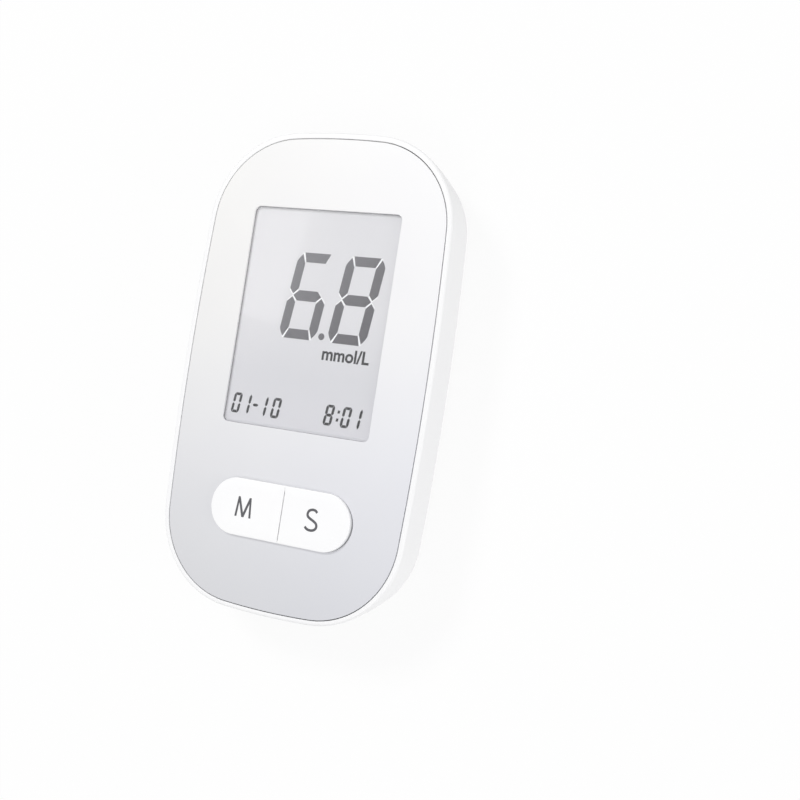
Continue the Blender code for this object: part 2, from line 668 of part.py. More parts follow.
def make_display():
    lens = rounded_rectangle(LENS_HALF_WIDTH, LENS_HALF_LENGTH, WINDOW_CORNER, WINDOW_CENTRE_Y)
    plate("display_lens", lens, LENS_BOTTOM, LENS_TOP, CLEAR_LENS)
    inner_half = CELL_HALF_WIDTH - POLARISER_MARGIN
    inner_low = CELL_LOW_Y + POLARISER_MARGIN
    inner_high = CELL_HIGH_Y - POLARISER_MARGIN
    box("lcd_front_polariser", (-inner_half, inner_low, CELL_TOP - POLARISER_THICKNESS),
        (inner_half, inner_high, CELL_TOP), DISPLAY_GREY)
    box("lcd_upper_glass", (-CELL_HALF_WIDTH, LEDGE_LOW_Y, UPPER_GLASS_BOTTOM),
        (CELL_HALF_WIDTH, CELL_HIGH_Y, UPPER_GLASS_TOP), GLASS)
    box("lcd_lower_glass", (-CELL_HALF_WIDTH, CELL_LOW_Y, LOWER_GLASS_BOTTOM),
        (CELL_HALF_WIDTH, CELL_HIGH_Y, LOWER_GLASS_TOP), GLASS)
    box("lcd_reflector", (-inner_half, inner_low, CELL_BOTTOM),
        (inner_half, inner_high, REFLECTOR_TOP), DISPLAY_GREY)
    connector_low_y = LEDGE_LOW_Y + CLEARANCE
    connector = box("lcd_connector_strip",
                    (-inner_half, connector_low_y, BOARD_TOP + BOND_LINE),
                    (inner_half, CELL_LOW_Y - CLEARANCE, UPPER_GLASS_BOTTOM - BOND_LINE), RUBBER)
    soften(connector, BOND_LINE, 1)


def make_lcd_frame():
    """The moulded tray that carries the cell on a ledge and holds its rubber connector."""
    low = BOARD_TOP + CLEARANCE
    frame = box("lcd_frame", (-FRAME_HALF_WIDTH, FRAME_LOW_Y, low),
                (FRAME_HALF_WIDTH, FRAME_HIGH_Y, PANEL_BOTTOM - CLEARANCE), FRAME_WHITE)
    tray_half = CELL_HALF_WIDTH + CLEARANCE
    tray_high_y = CELL_HIGH_Y + CLEARANCE
    tray_floor = CELL_BOTTOM - CLEARANCE
    cut(frame, box("cell_tray", (-tray_half, CELL_LOW_Y - CLEARANCE, tray_floor),
                   (tray_half, tray_high_y, PANEL_BOTTOM + OVERRUN)))
    cut(frame, box("ledge_tray", (-tray_half, LEDGE_LOW_Y - CLEARANCE, low - OVERRUN),
                   (tray_half, CELL_LOW_Y, PANEL_BOTTOM + OVERRUN)))
    well_half = tray_half - FRAME_LEDGE
    cut(frame, box("frame_well", (-well_half, CELL_LOW_Y + FRAME_LEDGE, low - OVERRUN),
                   (well_half, tray_high_y - FRAME_LEDGE, PANEL_BOTTOM)))
    return frame


# Keys and switches

def make_key(name, side):
    """A hollow key cap with a flange that stops it under the face wall and a post for its switch."""
    top = BODY_THICKNESS + KEY_RISE
    place = (side * KEY_CENTRE_X, KEYS_CENTRE_Y, BODY_THICKNESS)
    key = plate(name, key_outline(side), KEY_FLANGE_BOTTOM + KEY_FLANGE_THICKNESS / 2, top, WHITE_KEY)
    soften(key, KEY_EDGE_ROUND)
    flange = plate(name + "_flange", key_outline(side, KEY_FLANGE_WIDTH), KEY_FLANGE_BOTTOM,
                   KEY_FLANGE_TOP)
    join(key, flange)
    roof = top - KEY_WALL
    cut(key, plate(name + "_hollow", key_outline(side, -KEY_WALL), KEY_FLANGE_BOTTOM - OVERRUN, roof))
    join(key, rod(name + "_post", KEY_POST_RADIUS, place[:2], KEY_FLANGE_BOTTOM, top - KEY_WALL / 2,
                  sides=SMALL_SIDES))
    move_origin(key, place)
    return key


def move_origin(item, place):
    """Put an object's origin at a point without moving its shape."""
    bpy.context.view_layer.update()
    shift = item.matrix_world.inverted() @ Vector(place)
    for vertex in item.data.vertices:
        vertex.co -= shift
    item.location = place


def make_switch(prefix, side):
    """A soldered push switch: a square body with four legs and a well, and its plunger."""
    x = side * KEY_CENTRE_X
    y = KEYS_CENTRE_Y
    half = SWITCH_HALF_WIDTH
    body = box(prefix + "_switch", (x - half, y - half, SWITCH_BOTTOM),
               (x + half, y + half, SWITCH_TOP), CHIP_BLACK)
    for leg, (sx, sy) in enumerate(((-1, -1), (1, -1), (-1, 1), (1, 1)), 1):
        inner = x + sx * (half - SWITCH_LEG_REACH)
        outer = x + sx * (half + SWITCH_LEG_REACH)
        middle = y + sy * (half - SWITCH_LEG_WIDTH)
        join(body, box(f"{prefix}_leg_{leg}",
                       (min(inner, outer), middle - SWITCH_LEG_WIDTH / 2, SWITCH_BOTTOM),
                       (max(inner, outer), middle + SWITCH_LEG_WIDTH / 2,
                        SWITCH_BOTTOM + LEAD_THICKNESS)))
    cut(body, rod(prefix + "_well", PLUNGER_RADIUS + PLUNGER_WELL_GAP, (x, y), WELL_FLOOR,
                  SWITCH_TOP + OVERRUN, sides=SMALL_SIDES))
    plunger = rod(prefix + "_switch_plunger", PLUNGER_RADIUS, (x, y), PLUNGER_BOTTOM,
                  PLUNGER_TOP, WHITE_KEY, SMALL_SIDES)
    return body, plunger


def make_keypad():
    make_key("memory_key", -1)
    make_key("set_key", 1)
    make_switch("memory", -1)
    make_switch("set", 1)


# Main board

def make_board():
    height = (BOARD_TOP + BOARD_BOTTOM) / 2
    board = plate("main_board", body_outline(height, WALL + BOARD_EDGE_GAP), BOARD_BOTTOM,
                  BOARD_TOP, BOARD_GREEN)
    low = BOARD_BOTTOM - OVERRUN
    high = BOARD_TOP + OVERRUN
    cut(board, box("board_low_end", (-BODY_HALF_WIDTH, -BODY_HALF_LENGTH, low),
                   (BODY_HALF_WIDTH, BOARD_LOW_Y, high)))
    for i, place in enumerate(CASE_SCREWS[:2], 1):
        cut(board, rod(f"board_boss_hole_{i}", BOSS_RADIUS + CLEARANCE, place, low, high))
    for i, place in enumerate(BOARD_SCREWS, 1):
        cut(board, rod(f"board_screw_hole_{i}", BOARD_SCREW_RADIUS + CLEARANCE, place, low, high,
                       sides=SMALL_SIDES))
    return board


def make_chip(name, centre, half_size, leads, both_ways=False):
    """A packaged chip under the board, with a comb of flat leads along its sides."""
    top = BOARD_BOTTOM - SOLDER
    x, y = centre
    half_x, half_y = half_size
    body = box(name, (x - half_x, y - half_y, top - CHIP_STANDOFF - CHIP_HEIGHT),
               (x + half_x, y + half_y, top - CHIP_STANDOFF), CHIP_BLACK)
    reach = 2 * LEAD_WIDTH
    low = top - CHIP_STANDOFF - LEAD_THICKNESS
    for i in range(leads):
        share = (2 * i + 1) / leads - 1
        along = y + share * (half_y - LEAD_WIDTH)
        join(body, box(f"{name}_lead_y{i}", (x - half_x - reach, along - LEAD_WIDTH / 2, low),
                       (x + half_x + reach, along + LEAD_WIDTH / 2, top)))
        if both_ways:
            along = x + share * (half_x - LEAD_WIDTH)
            join(body, box(f"{name}_lead_x{i}", (along - LEAD_WIDTH / 2, y - half_y - reach, low),
                           (along + LEAD_WIDTH / 2, y + half_y + reach, top)))
    return body


def on_board(shares):
    """A place under the board, in the stretch between the battery box and the strip connector."""
    length = connector_front_y() - CONNECTOR_LENGTH - BOX_END_Y
    return (BODY_HALF_WIDTH * shares[0], BOX_END_Y + length * shares[1])


def make_capacitor(name, centre, half_width, half_length, height):
    top = BOARD_BOTTOM - SOLDER
    x, y = centre
    block = box(name, (x - half_width, y - half_length, top - height),
                (x + half_width, y + half_length, top), CERAMIC)
    soften(block, CAPACITOR_EDGE_ROUND, 1)


def make_board_parts():
    side = CONTROLLER_HALF_SIDE
    small = (SMALL_CHIP_HALF_WIDTH, SMALL_CHIP_HALF_LENGTH)
    make_chip("controller_chip", on_board(CONTROLLER_SHARES), (side, side), CONTROLLER_LEADS, True)
    make_chip("amplifier_chip", on_board(AMPLIFIER_SHARES), small, SMALL_CHIP_LEADS)
    make_chip("memory_chip", on_board(MEMORY_CHIP_SHARES), small, SMALL_CHIP_LEADS)
    make_capacitor("supply_capacitor", on_board(SUPPLY_CAPACITOR_SHARES),
                   SUPPLY_CAPACITOR_HALF_WIDTH, SUPPLY_CAPACITOR_HALF_LENGTH,
                   SUPPLY_CAPACITOR_HEIGHT)
    for i, shares in enumerate(FILTER_CAPACITOR_SHARES, 1):
        make_capacitor(f"filter_capacitor_{i}", on_board(shares), FILTER_CAPACITOR_HALF_WIDTH,
                       FILTER_CAPACITOR_HALF_LENGTH, FILTER_CAPACITOR_HEIGHT)
    top = BOARD_BOTTOM - SOLDER
    low = top - BUZZER_HEIGHT
    place = on_board(BUZZER_SHARES)
    buzzer = rod("buzzer", BUZZER_RADIUS, place, low, top, CHIP_BLACK)
    cut(buzzer, rod("buzzer_port", BUZZER_PORT_RADIUS, place, low - OVERRUN,
                    low + BUZZER_HEIGHT / 2, sides=SMALL_SIDES))
    bpy.ops.mesh.primitive_cylinder_add(vertices=SMALL_SIDES, radius=CRYSTAL_RADIUS,
                                        depth=CRYSTAL_LENGTH, rotation=(pi / 2, 0, 0))
    crystal = adopt(bpy.context.object, "watch_crystal", STEEL)
    crystal.location = (*on_board(CRYSTAL_SHARES), top - CRYSTAL_RADIUS)
    smooth(crystal)


# Strip connector

def make_strip_connector():
    front = connector_front_y()
    back = front - CONNECTOR_LENGTH
    half = CONNECTOR_HALF_WIDTH
    body = box("strip_connector", (-half, back, CONNECTOR_BOTTOM), (half, front, CONNECTOR_TOP),
               BEIGE)
    slot_top = STRIP_FLOOR + STRIP_SLOT_HEIGHT
    cut(body, box("strip_way", (-STRIP_SLOT_HALF_WIDTH, front - STRIP_SLOT_DEPTH, STRIP_FLOOR),
                  (STRIP_SLOT_HALF_WIDTH, front + OVERRUN, slot_top)))
    channel_half = CONTACT_WIDTH / 2 + CHANNEL_MARGIN
    channel_top = slot_top + CONTACT_CHANNEL
    nose = front - CONTACT_BEND / 2
    middle = (slot_top + channel_top) / 2
    dip = slot_top + CONTACT_THICKNESS / 2
    tail_height = BOARD_BOTTOM - SOLDER - CONTACT_THICKNESS / 2
    outside = back - CLEARANCE
    path = [(outside - CONTACT_TAIL, tail_height), (outside, tail_height), (outside, middle),
            (nose - 2 * CONTACT_BEND, middle), (nose - CONTACT_BEND, dip),
            (nose - CHANNEL_MARGIN, middle)]
    for i in range(CONTACT_COUNT):
        x = (i - (CONTACT_COUNT - 1) / 2) * CONTACT_PITCH
        cut(body, box(f"channel_{i + 1}", (x - channel_half, back - OVERRUN,
                                           slot_top - CHANNEL_MARGIN),
                      (x + channel_half, nose, channel_top)))
        contact = strip(f"strip_contact_{i + 1}", path, CONTACT_WIDTH / 2, CONTACT_THICKNESS, GOLD)
        contact.location.x = x
    return body


# Coin cells and contacts

def leaf_places():
    """For each coin cell, where its flat leaf and its side clip pass through the pocket roof."""
    clip_x = COIN_RADIUS + POCKET_GAP / 2
    for i, (x, y) in enumerate(COIN_PLACES):
        inward = 1 - 2 * i
        yield i + 1, (x, y + LEAF_ROOT), (inward * clip_x, y + inward * CLIP_OFFSET), inward


def make_cells():
    for i, place in enumerate(COIN_PLACES, 1):
        shoulder = COIN_TOP - COIN_CAP_RISE
        profile = [(0, COIN_TOP), (COIN_CAP_RADIUS, COIN_TOP), (COIN_CAP_RADIUS, shoulder),
                   (COIN_RADIUS - COIN_EDGE, shoulder), (COIN_RADIUS, shoulder - COIN_EDGE),
                   (COIN_RADIUS, COIN_BOTTOM + COIN_EDGE), (COIN_RADIUS - COIN_EDGE, COIN_BOTTOM),
                   (0, COIN_BOTTOM)]
        turned(f"coin_cell_{i}", profile, place, STEEL, 2 * ROUND_SIDES)
    tail = BOARD_BOTTOM - CLEARANCE
    level = COIN_TOP + POCKET_HEADROOM / 2
    for i, (leaf_x, leaf_y), (clip_x, clip_y), inward in leaf_places():
        leaf = strip(f"negative_contact_{i}", [(0, tail), (0, level), (-LEAF_LENGTH, level)],
                     LEAF_WIDTH / 2, LEAF_THICKNESS, NICKEL)
        leaf.location = (leaf_x, leaf_y, 0)
        foot = COIN_BOTTOM + POCKET_HEADROOM
        clip = strip(f"positive_contact_{i}", [(0, tail), (0, foot)], LEAF_WIDTH / 2,
                     LEAF_THICKNESS, NICKEL, along="Y")
        clip.location = (clip_x, clip_y, 0)


# Rear half of the housing

def make_rear_cover():
    cover = loft("rear_cover", body_levels(0, COVER_TOP), WHITE_SHELL)
    join(cover, loft("lip", body_levels(COVER_TOP - LAP_HEIGHT, LIP_TOP, LAP_WALL + LIP_GAP)))
    cavity = loft("rear_cavity", body_levels(BACK_WALL, LIP_TOP + OVERRUN, WALL))
    frame_half = DOOR_HALF_WIDTH + CLEARANCE + DOOR_FRAME_WALL
    cut(cavity, box("door_frame", (-frame_half, -BODY_HALF_LENGTH, 0),
                    (frame_half, DOOR_TOP_Y + CLEARANCE + DOOR_FRAME_WALL, DOOR_FRAME_HEIGHT)))
    cut(cover, cavity)
    box_outline = pill(POCKET_HALF_LENGTH + POCKET_WALL, BOX_HALF_WIDTH, (0, POCKET_CENTRE_Y), True)
    join(cover, plate("battery_box", box_outline, DOOR_SEAT, BOX_TOP))
    for i, place in enumerate(CASE_SCREWS, 1):
        join(cover, rod(f"screw_post_{i}", POST_RADIUS, place, BACK_WALL - BOND_LINE, COVER_TOP))
    cut(cover, door_way())
    pocket = pill(POCKET_HALF_LENGTH, COIN_RADIUS + POCKET_GAP, (0, POCKET_CENTRE_Y), True)
    cut(cover, plate("coin_pocket", pocket, DOOR_SEAT - OVERRUN, POCKET_CEILING))
    cut_contact_slots(cover)
    for i, place in enumerate(CASE_SCREWS, 1):
        cut(cover, rod(f"head_recess_{i}", HEAD_RECESS_RADIUS, place, -OVERRUN, SCREW_SEAT))
        cut(cover, rod(f"screw_hole_{i}", SCREW_RADIUS + CLEARANCE, place, SCREW_SEAT - OVERRUN,
                       COVER_TOP + OVERRUN, sides=SMALL_SIDES))
    return cover


def rails(name, grow):
    """The two rails along the door's edges, or the grooves that they run in."""
    low = DOOR_INNER - RAIL_THICKNESS - grow
    far = DOOR_HALF_WIDTH + RAIL_WIDTH + grow
    near = DOOR_HALF_WIDTH - RAIL_WIDTH
    for label, side in (("left", -1), ("right", 1)):
        inner, outer = sorted((side * near, side * far))
        yield box(f"{name}_{label}", (inner, -BODY_HALF_LENGTH - OVERRUN, low),
                  (outer, DOOR_TOP_Y + grow, DOOR_INNER + grow))


def door_way():
    """The space that the door takes: its outline down to the seat, with the rail grooves."""
    half = DOOR_HALF_WIDTH + CLEARANCE
    way = box("door_way", (-half, -BODY_HALF_LENGTH - OVERRUN, -OVERRUN),
              (half, DOOR_TOP_Y + CLEARANCE, LIP_TOP + OVERRUN))
    join(way, *rails("groove", CLEARANCE))
    seat = body_levels(DOOR_SEAT, LIP_TOP + 2 * OVERRUN, DOOR_THICKNESS + CLEARANCE)
    cut(way, loft("door_seat", seat))
    return way


def cut_contact_slots(cover):
    """Slots in the pocket roof for the leaves and clips."""
    low = POCKET_CEILING - OVERRUN / 2
    high = BOX_TOP + OVERRUN
    across = LEAF_WIDTH / 2 + LEAF_SLOT_MARGIN
    thin = LEAF_THICKNESS / 2 + LEAF_SLOT_MARGIN
    for i, (leaf_x, leaf_y), (clip_x, clip_y), inward in leaf_places():
        cut(cover, box(f"leaf_slot_{i}", (leaf_x - across, leaf_y - thin, low),
                       (leaf_x + across, leaf_y + thin, high)))
        cut(cover, box(f"clip_slot_{i}", (clip_x - thin, clip_y - across, low),
                       (clip_x + thin, clip_y + across, high)))


def make_battery_door():
    door = loft("battery_door", body_levels(DOOR_RECESS, COVER_TOP), WHITE_SHELL)
    footprint = box("door_footprint", (-DOOR_HALF_WIDTH, -BODY_HALF_LENGTH - OVERRUN, -OVERRUN),
                    (DOOR_HALF_WIDTH, DOOR_TOP_Y, COVER_TOP + OVERRUN))
    join(footprint, *rails("rail", 0))
    boolean(door, footprint, "INTERSECT")
    cut(door, loft("door_inside", body_levels(DOOR_INNER, COVER_TOP + OVERRUN, DOOR_THICKNESS)))
    for i in range(GRIP_COUNT):
        y = GRIP_CENTRE_Y + (i - (GRIP_COUNT - 1) / 2) * GRIP_PITCH
        cut(door, box(f"grip_{i + 1}", (-GRIP_HALF_LENGTH, y - GRIP_WIDTH / 2, -OVERRUN),
                      (GRIP_HALF_LENGTH, y + GRIP_WIDTH / 2, DOOR_RECESS + GRIP_DEPTH)))
    move_origin(door, (0, DOOR_TOP_Y, DOOR_RECESS))
    return door


# Screws

def make_screw(name, place, seat, radius, length, head_radius, head_height):
    """A pan head screw that points up from its seat, with a cross recess."""
    tip = seat + length
    face = seat - head_height
    profile = [(0, tip), (radius / 2, tip), (radius, tip - radius), (radius, seat),
               (head_radius, seat), (head_radius, seat - head_height / 2),
               (head_radius * HEAD_FACE_SHARE, face), (0, face)]
    screw = turned(name, profile, place, SCREW_STEEL)
    reach = head_radius * RECESS_REACH_SHARE
    half = reach * RECESS_WIDTH_SHARE
    depth = head_height * RECESS_DEPTH_SHARE
    x, y = place
    bar = box(name + "_recess", (x - reach, y - half, face - OVERRUN),
              (x + reach, y + half, face + depth))
    join(bar, box(name + "_recess_arm", (x - half, y - reach, face - OVERRUN),
                  (x + half, y + reach, face + depth)))
    cut(screw, bar)
    return screw


def make_screws():
    for i, place in enumerate(CASE_SCREWS, 1):
        make_screw(f"case_screw_{i}", place, SCREW_SEAT - CLEARANCE, SCREW_RADIUS, SCREW_LENGTH,
                   SCREW_HEAD_RADIUS, SCREW_HEAD_HEIGHT)
    for i, place in enumerate(BOARD_SCREWS, 1):
        make_screw(f"board_screw_{i}", place, BOARD_BOTTOM - CLEARANCE, BOARD_SCREW_RADIUS,
                   BOARD_SCREW_LENGTH, BOARD_SCREW_HEAD_RADIUS, BOARD_SCREW_HEAD_HEIGHT)


make_front_shell()
make_front_panel()
make_display()
make_lcd_frame()
make_keypad()
make_board()
make_board_parts()
make_strip_connector()
make_cells()
make_rear_cover()
make_battery_door()
make_screws()
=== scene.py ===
"""Looks of the handheld glucose and uric acid meter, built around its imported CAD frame.

Sizes are in millimetres in the row frame and become metres when a mesh is made. The meter lies
on its back: +Z points out of the face, +Y towards the end with the display and the strip port.
"""

import bmesh
import bpy
import numpy as np
from mathutils import Matrix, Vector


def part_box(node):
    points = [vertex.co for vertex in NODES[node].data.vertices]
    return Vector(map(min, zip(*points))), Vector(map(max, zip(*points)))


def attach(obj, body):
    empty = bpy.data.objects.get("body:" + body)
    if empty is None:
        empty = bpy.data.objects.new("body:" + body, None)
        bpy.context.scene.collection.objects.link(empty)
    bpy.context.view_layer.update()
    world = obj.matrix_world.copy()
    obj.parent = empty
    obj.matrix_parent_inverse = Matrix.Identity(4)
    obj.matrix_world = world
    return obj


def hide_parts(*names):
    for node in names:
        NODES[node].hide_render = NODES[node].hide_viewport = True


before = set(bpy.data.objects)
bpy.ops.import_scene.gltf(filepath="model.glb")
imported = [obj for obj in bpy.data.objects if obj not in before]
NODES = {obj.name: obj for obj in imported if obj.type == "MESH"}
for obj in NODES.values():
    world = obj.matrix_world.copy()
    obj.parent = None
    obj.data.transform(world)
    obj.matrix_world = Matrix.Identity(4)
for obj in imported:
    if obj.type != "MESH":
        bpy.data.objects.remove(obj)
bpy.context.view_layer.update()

# Scale, fine steps, a quarter round's rise and inward draw, and a tool's reach past its piece
MM = 0.001
SIDE_STEPS = 14
CORNER_STEPS = 30
END_STEPS = 12
BACK_STEPS = 24
WALL_STEPS = 10
ROUND_SIDES = 96
ROD_SIDES = 48
SMOOTH_ANGLE = np.radians(32)
QUARTER = np.linspace(0, np.pi / 2, 9)
RISE = np.sin(QUARTER)
DRAW = 1 - np.cos(QUARTER)
PAST = 1.0

# Body outline and section
HALF_WIDTH = 27.3
HALF_LENGTH = 47.2
THICKNESS = 15.0
CORNER = 18.2
SIDE_CROWN = 608.0
END_CROWN = 150.0
SIDE_TAPER = 2.0
END_TAPER = 3.8
TAPER_POWER = 1.5
CORNER_TAPER = 1.2
RIM_FILLET = 0.6
BACK_ROUND = 5.0
WALL = 1.8
LAP = 0.8
LIP = 1.1
SHELL_BOTTOM = 4.1
COVER_FLOOR = 1.5
COVER_TOP = 3.9
LAP_TOP = 5.5
LIP_TOP = 5.2
CEILING = 12.0
EDGE_BREAK = 0.12

# Face panel, its seam and the openings in it
PANEL_HALF_WIDTH = 26.01
PANEL_HALF_LENGTH = 45.96
PANEL_SHIFT = (0.09, -0.14)
PANEL_CORNER = 17.0
PANEL_BOTTOM = 13.5
RECESS_FLOOR = 13.2
SEAM = 0.16
PANEL_EDGE = 0.08
OPENING_EDGE = 0.02
WINDOW_HALF = (16.2, 21.6)
WINDOW_Y = 10.3
WINDOW_CORNER = 1.2
LENS_SEAT_TOP = 14.5
LENS_SEAT_HALF = (18.3, 23.7)
PLATE_THIN = 14.23
PLATE_EDGE = 0.05
PLATE_RISE = 14.8
PLATE_GAP = 0.03
# Width of the painted shade band at the window plate's rim
PLATE_SHADE_BAND = 0.07

# Keys
KEYS_X = 0.1
KEYS_Y = -27.36
KEYS_HALF_LENGTH = 15.38
KEYS_RADIUS = 5.56
KEYS_END_X = KEYS_HALF_LENGTH - KEYS_RADIUS
KEY_STEPS = 48
KEY_TOP = 15.8
OPENING_GAP = 0.012
OPENING_REACH = (0.30, -0.09)
SPLIT_X = 0.66
KEY_SPLIT = 0.08
SPLIT_CLOSED = 0.012
SPLIT_CLOSED_SHARE = 0.2
SPLIT_FADE_TOP = (0.7, 1.6)
SPLIT_FADE_FOOT = (0.3, 0.8)
KEY_EDGE = 0.2
KEY_SPLIT_EDGE = 0.12
KEY_CROWN = 0.12
CROWN_REACH = 2.0
CROWN_SPLIT_REACH = 2.2
KEY_WALL = 1.0
KEY_ROOF = 14.8
KEY_FLANGE = 0.9
KEY_FLANGE_LOW = 11.0
KEY_FLANGE_HIGH = 11.7
KEY_POST = 1.3
KEY_POST_ROOT = KEY_ROOF + 0.3
KEY_CENTRE_X = 7.7

# Screws, their posts and holes (radius, low, high), and the strip port
CASE_SCREWS = ((-15.0, 38.0), (15.0, 38.0), (-17.0, -36.0), (17.0, -36.0))
BOARD_SCREWS = ((-21.4, -18.5), (21.4, -18.5))
POST_ROOT = CEILING + 0.6
BOSS = (2.4, 4.3, POST_ROOT)
BOSS_HOLE = (1.3, 3.0, 9.4)
BOARD_POST = (1.9, 9.3, POST_ROOT)
BOARD_HOLE = (0.9, 8.0, 11.0)
COVER_POST = (3.2, 1.4, COVER_TOP)
COVER_HOLE = (1.3, 2.0, 4.5)
HEAD_RECESS = 2.3
HEAD_RECESS_TOP = 2.4
PORT_HALF = 3.6
PORT_LOW = 5.6
PORT_HIGH = 7.2
SCOOP_RADIUS = 2.6
SCOOP_DEPTH = 0.7

# Battery door, its guide, the battery box and pocket (half length, radius, heights), the cells
DOOR_HALF = 12.5
DOOR_TOP_Y = 10.0
DOOR_LOW = 0.15
DOOR_INNER = 1.75
DOOR_WALL = 1.6
DOOR_SEAT = 2.05
RAIL_IN = 11.7
RAIL_OUT = 13.3
RAIL_LOW = 1.0
GUIDE_HALF = 14.6
GUIDE_TOP_Y = 12.1
GUIDE_HEIGHTS = (1.4, 3.6)
GUIDE_WALL = 0.9
GUIDE_LIMIT = (1.2, 4.0)
GRIP_Y = -31.0
GRIP_STEP = 1.8
GRIP_RADIUS = 0.45
GRIP_HALF = 5.0
GRIP_COUNT = 5
GRIP_SINK = 0.05
FIT = 0.3
POCKET_Y = -14.8
BOX = (22.1, 11.8, (DOOR_SEAT, 6.85))
POCKET = (20.8, 10.5, (1.0, 5.85))
CONTACT_SLOT = (5.5, 7.5)
CONTACT_LEAF = 0.2
COIN_PLACES = ((0.0, -25.1), (0.0, -4.5))
COIN_SIDES = 128
COIN_RADIUS = 10.0
COIN_TOP = 5.25
PLUS_Y = 3.9


# Mesh making

def link(name, data):
    """New object that holds some data, linked to the scene."""
    item = bpy.data.objects.new(name, data)
    bpy.context.scene.collection.objects.link(item)
    return item


def to_mesh(name, points, faces, loose=False):
    """Object from points in millimetres and faces, turned so that its volume is positive.

    Loose shells keep all their points, and each is turned outward by itself.
    """
    mesh = bpy.data.meshes.new(name)
    mesh.from_pydata((np.asarray(points, float) * MM).tolist(), [], faces)
    shape = bmesh.new()
    shape.from_mesh(mesh)
    if loose:
        bmesh.ops.recalc_face_normals(shape, faces=shape.faces)
    else:
        bmesh.ops.remove_doubles(shape, verts=shape.verts, dist=2e-7)
        bmesh.ops.dissolve_degenerate(shape, edges=shape.edges, dist=1e-8)
    if shape.calc_volume(signed=True) < 0:
        bmesh.ops.reverse_faces(shape, faces=shape.faces)
    shape.to_mesh(mesh)
    shape.free()
    return link(name, mesh)


def ring_faces(count, sides, first=0):
    """Faces through rings of points: quads join each ring to the next, and both ends are filled."""
    start = first + np.arange(count - 1)[:, None] * sides
    step = np.arange(sides)[None, :]
    after = (step + 1) % sides
    quads = np.stack([start + step, start + after, start + sides + after, start + sides + step], -1)
    foot = first + np.arange(sides)
    return [*quads.reshape(-1, 4).tolist(), foot[::-1].tolist(),
            (foot + (count - 1) * sides).tolist()]


def ring_solid(name, rings):
    """Closed solid through rings of (x, y, z)."""
    rings = np.asarray(rings, float)
    return to_mesh(name, rings.reshape(-1, 3), ring_faces(*rings.shape[:2]))


def at_heights(outlines, heights):
    """Rings of (x, y, z) from rows of (x, y) and a height for each row."""
    outlines = np.asarray(outlines, float)
    heights = np.broadcast_to(np.asarray(heights, float).reshape(-1, 1), outlines.shape[:2])
    return np.concatenate([outlines, heights[..., None]], axis=2)


def block(name, low, high):
    """Box between two corners."""
    corners = [(low[0], low[1]), (high[0], low[1]), (high[0], high[1]), (low[0], high[1])]
    return ring_solid(name, at_heights([corners, corners], [low[2], high[2]]))


def bar_across(name, section, half):
    """Bar along X with a section of (y, z) points, as far to the left as to the right."""
    return ring_solid(name, [np.column_stack([np.full(len(section), x), section])
                             for x in (-half, half)])


def turned(name, profile, centre, sides=ROUND_SIDES):
    """Surface of revolution: (r cos t, r sin t, z) for each (r, z) of the profile, ends closed."""
    profile = np.asarray(profile, float)
    angle = np.linspace(0, 2 * np.pi, sides, endpoint=False)
    rings = np.stack([centre[0] + profile[:, :1] * np.cos(angle),
                      centre[1] + profile[:, :1] * np.sin(angle),
                      np.repeat(profile[:, 1:], sides, axis=1)], axis=2)
    return ring_solid(name, rings)


def rods(places, radius, low, high):
    """Upright cylinders between two heights, one at each place."""
    return [turned("rod", [(radius, low), (radius, high)], place, ROD_SIDES) for place in places]


def bake(piece):
    """Replace a piece's mesh by what its modifiers make of it."""
    bpy.context.view_layer.update()
    shown = piece.evaluated_get(bpy.context.evaluated_depsgraph_get())
    mesh = bpy.data.meshes.new_from_object(shown)
    piece.modifiers.clear()
    old = piece.data
    piece.data = mesh
    bpy.data.meshes.remove(old)


def combine(operation, piece, *tools):
    """Cut, join or intersect a piece with tools, one after another, and drop them."""
    for tool in tools:
        step = piece.modifiers.new(tool.name, "BOOLEAN")
        step.operation = operation
        step.solver = "EXACT"
        step.object = tool
        bake(piece)
        bpy.data.objects.remove(tool, do_unlink=True)
    return piece


def cut(piece, *tools):
    return combine("DIFFERENCE", piece, *tools)


def join(piece, *tools):
    return combine("UNION", piece, *tools)


def polish(piece):
    """Smooth shading with sharp edges kept, and flats that stay flat beside their rounds."""
    piece.data.shade_smooth()
    piece.data.set_sharp_from_angle(angle=SMOOTH_ANGLE)
    weigh = piece.modifiers.new("weigh", "WEIGHTED_NORMAL")
    weigh.keep_sharp = True
    weigh.weight = 100
    bake(piece)
    return piece


def dress(piece, finish, slot, *stands_for, body="housing"):
    """Give a new piece its finish, its body and the CAD nodes that it stands for; the slot is not
    used.
    """
    piece.data.materials.clear()
    piece.data.materials.append(finish)
    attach(piece, body)
    if stands_for:
        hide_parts(*stands_for)
    return piece


def cad_box(node):
    """Low and high corners of a CAD node, in millimetres."""
    return [np.array(corner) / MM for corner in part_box(node)]


# Outlines

def arc(centre_x, centre_y, radius, start, end, steps):
    """Points (cx + r cos t, cy + r sin t), t running evenly from start to end, one row an arc."""
    share = np.linspace(0, 1, steps + 1)[None, :]
    angle = start + (end - start) * share
    return np.stack([centre_x + radius * np.cos(angle), centre_y + radius * np.sin(angle)], axis=2)


def columns(*values):
    """The values as columns of one common length."""
    wide = np.broadcast_arrays(*[np.atleast_1d(np.asarray(v, float)) for v in values])
    return [v.reshape(-1, 1) for v in wide]


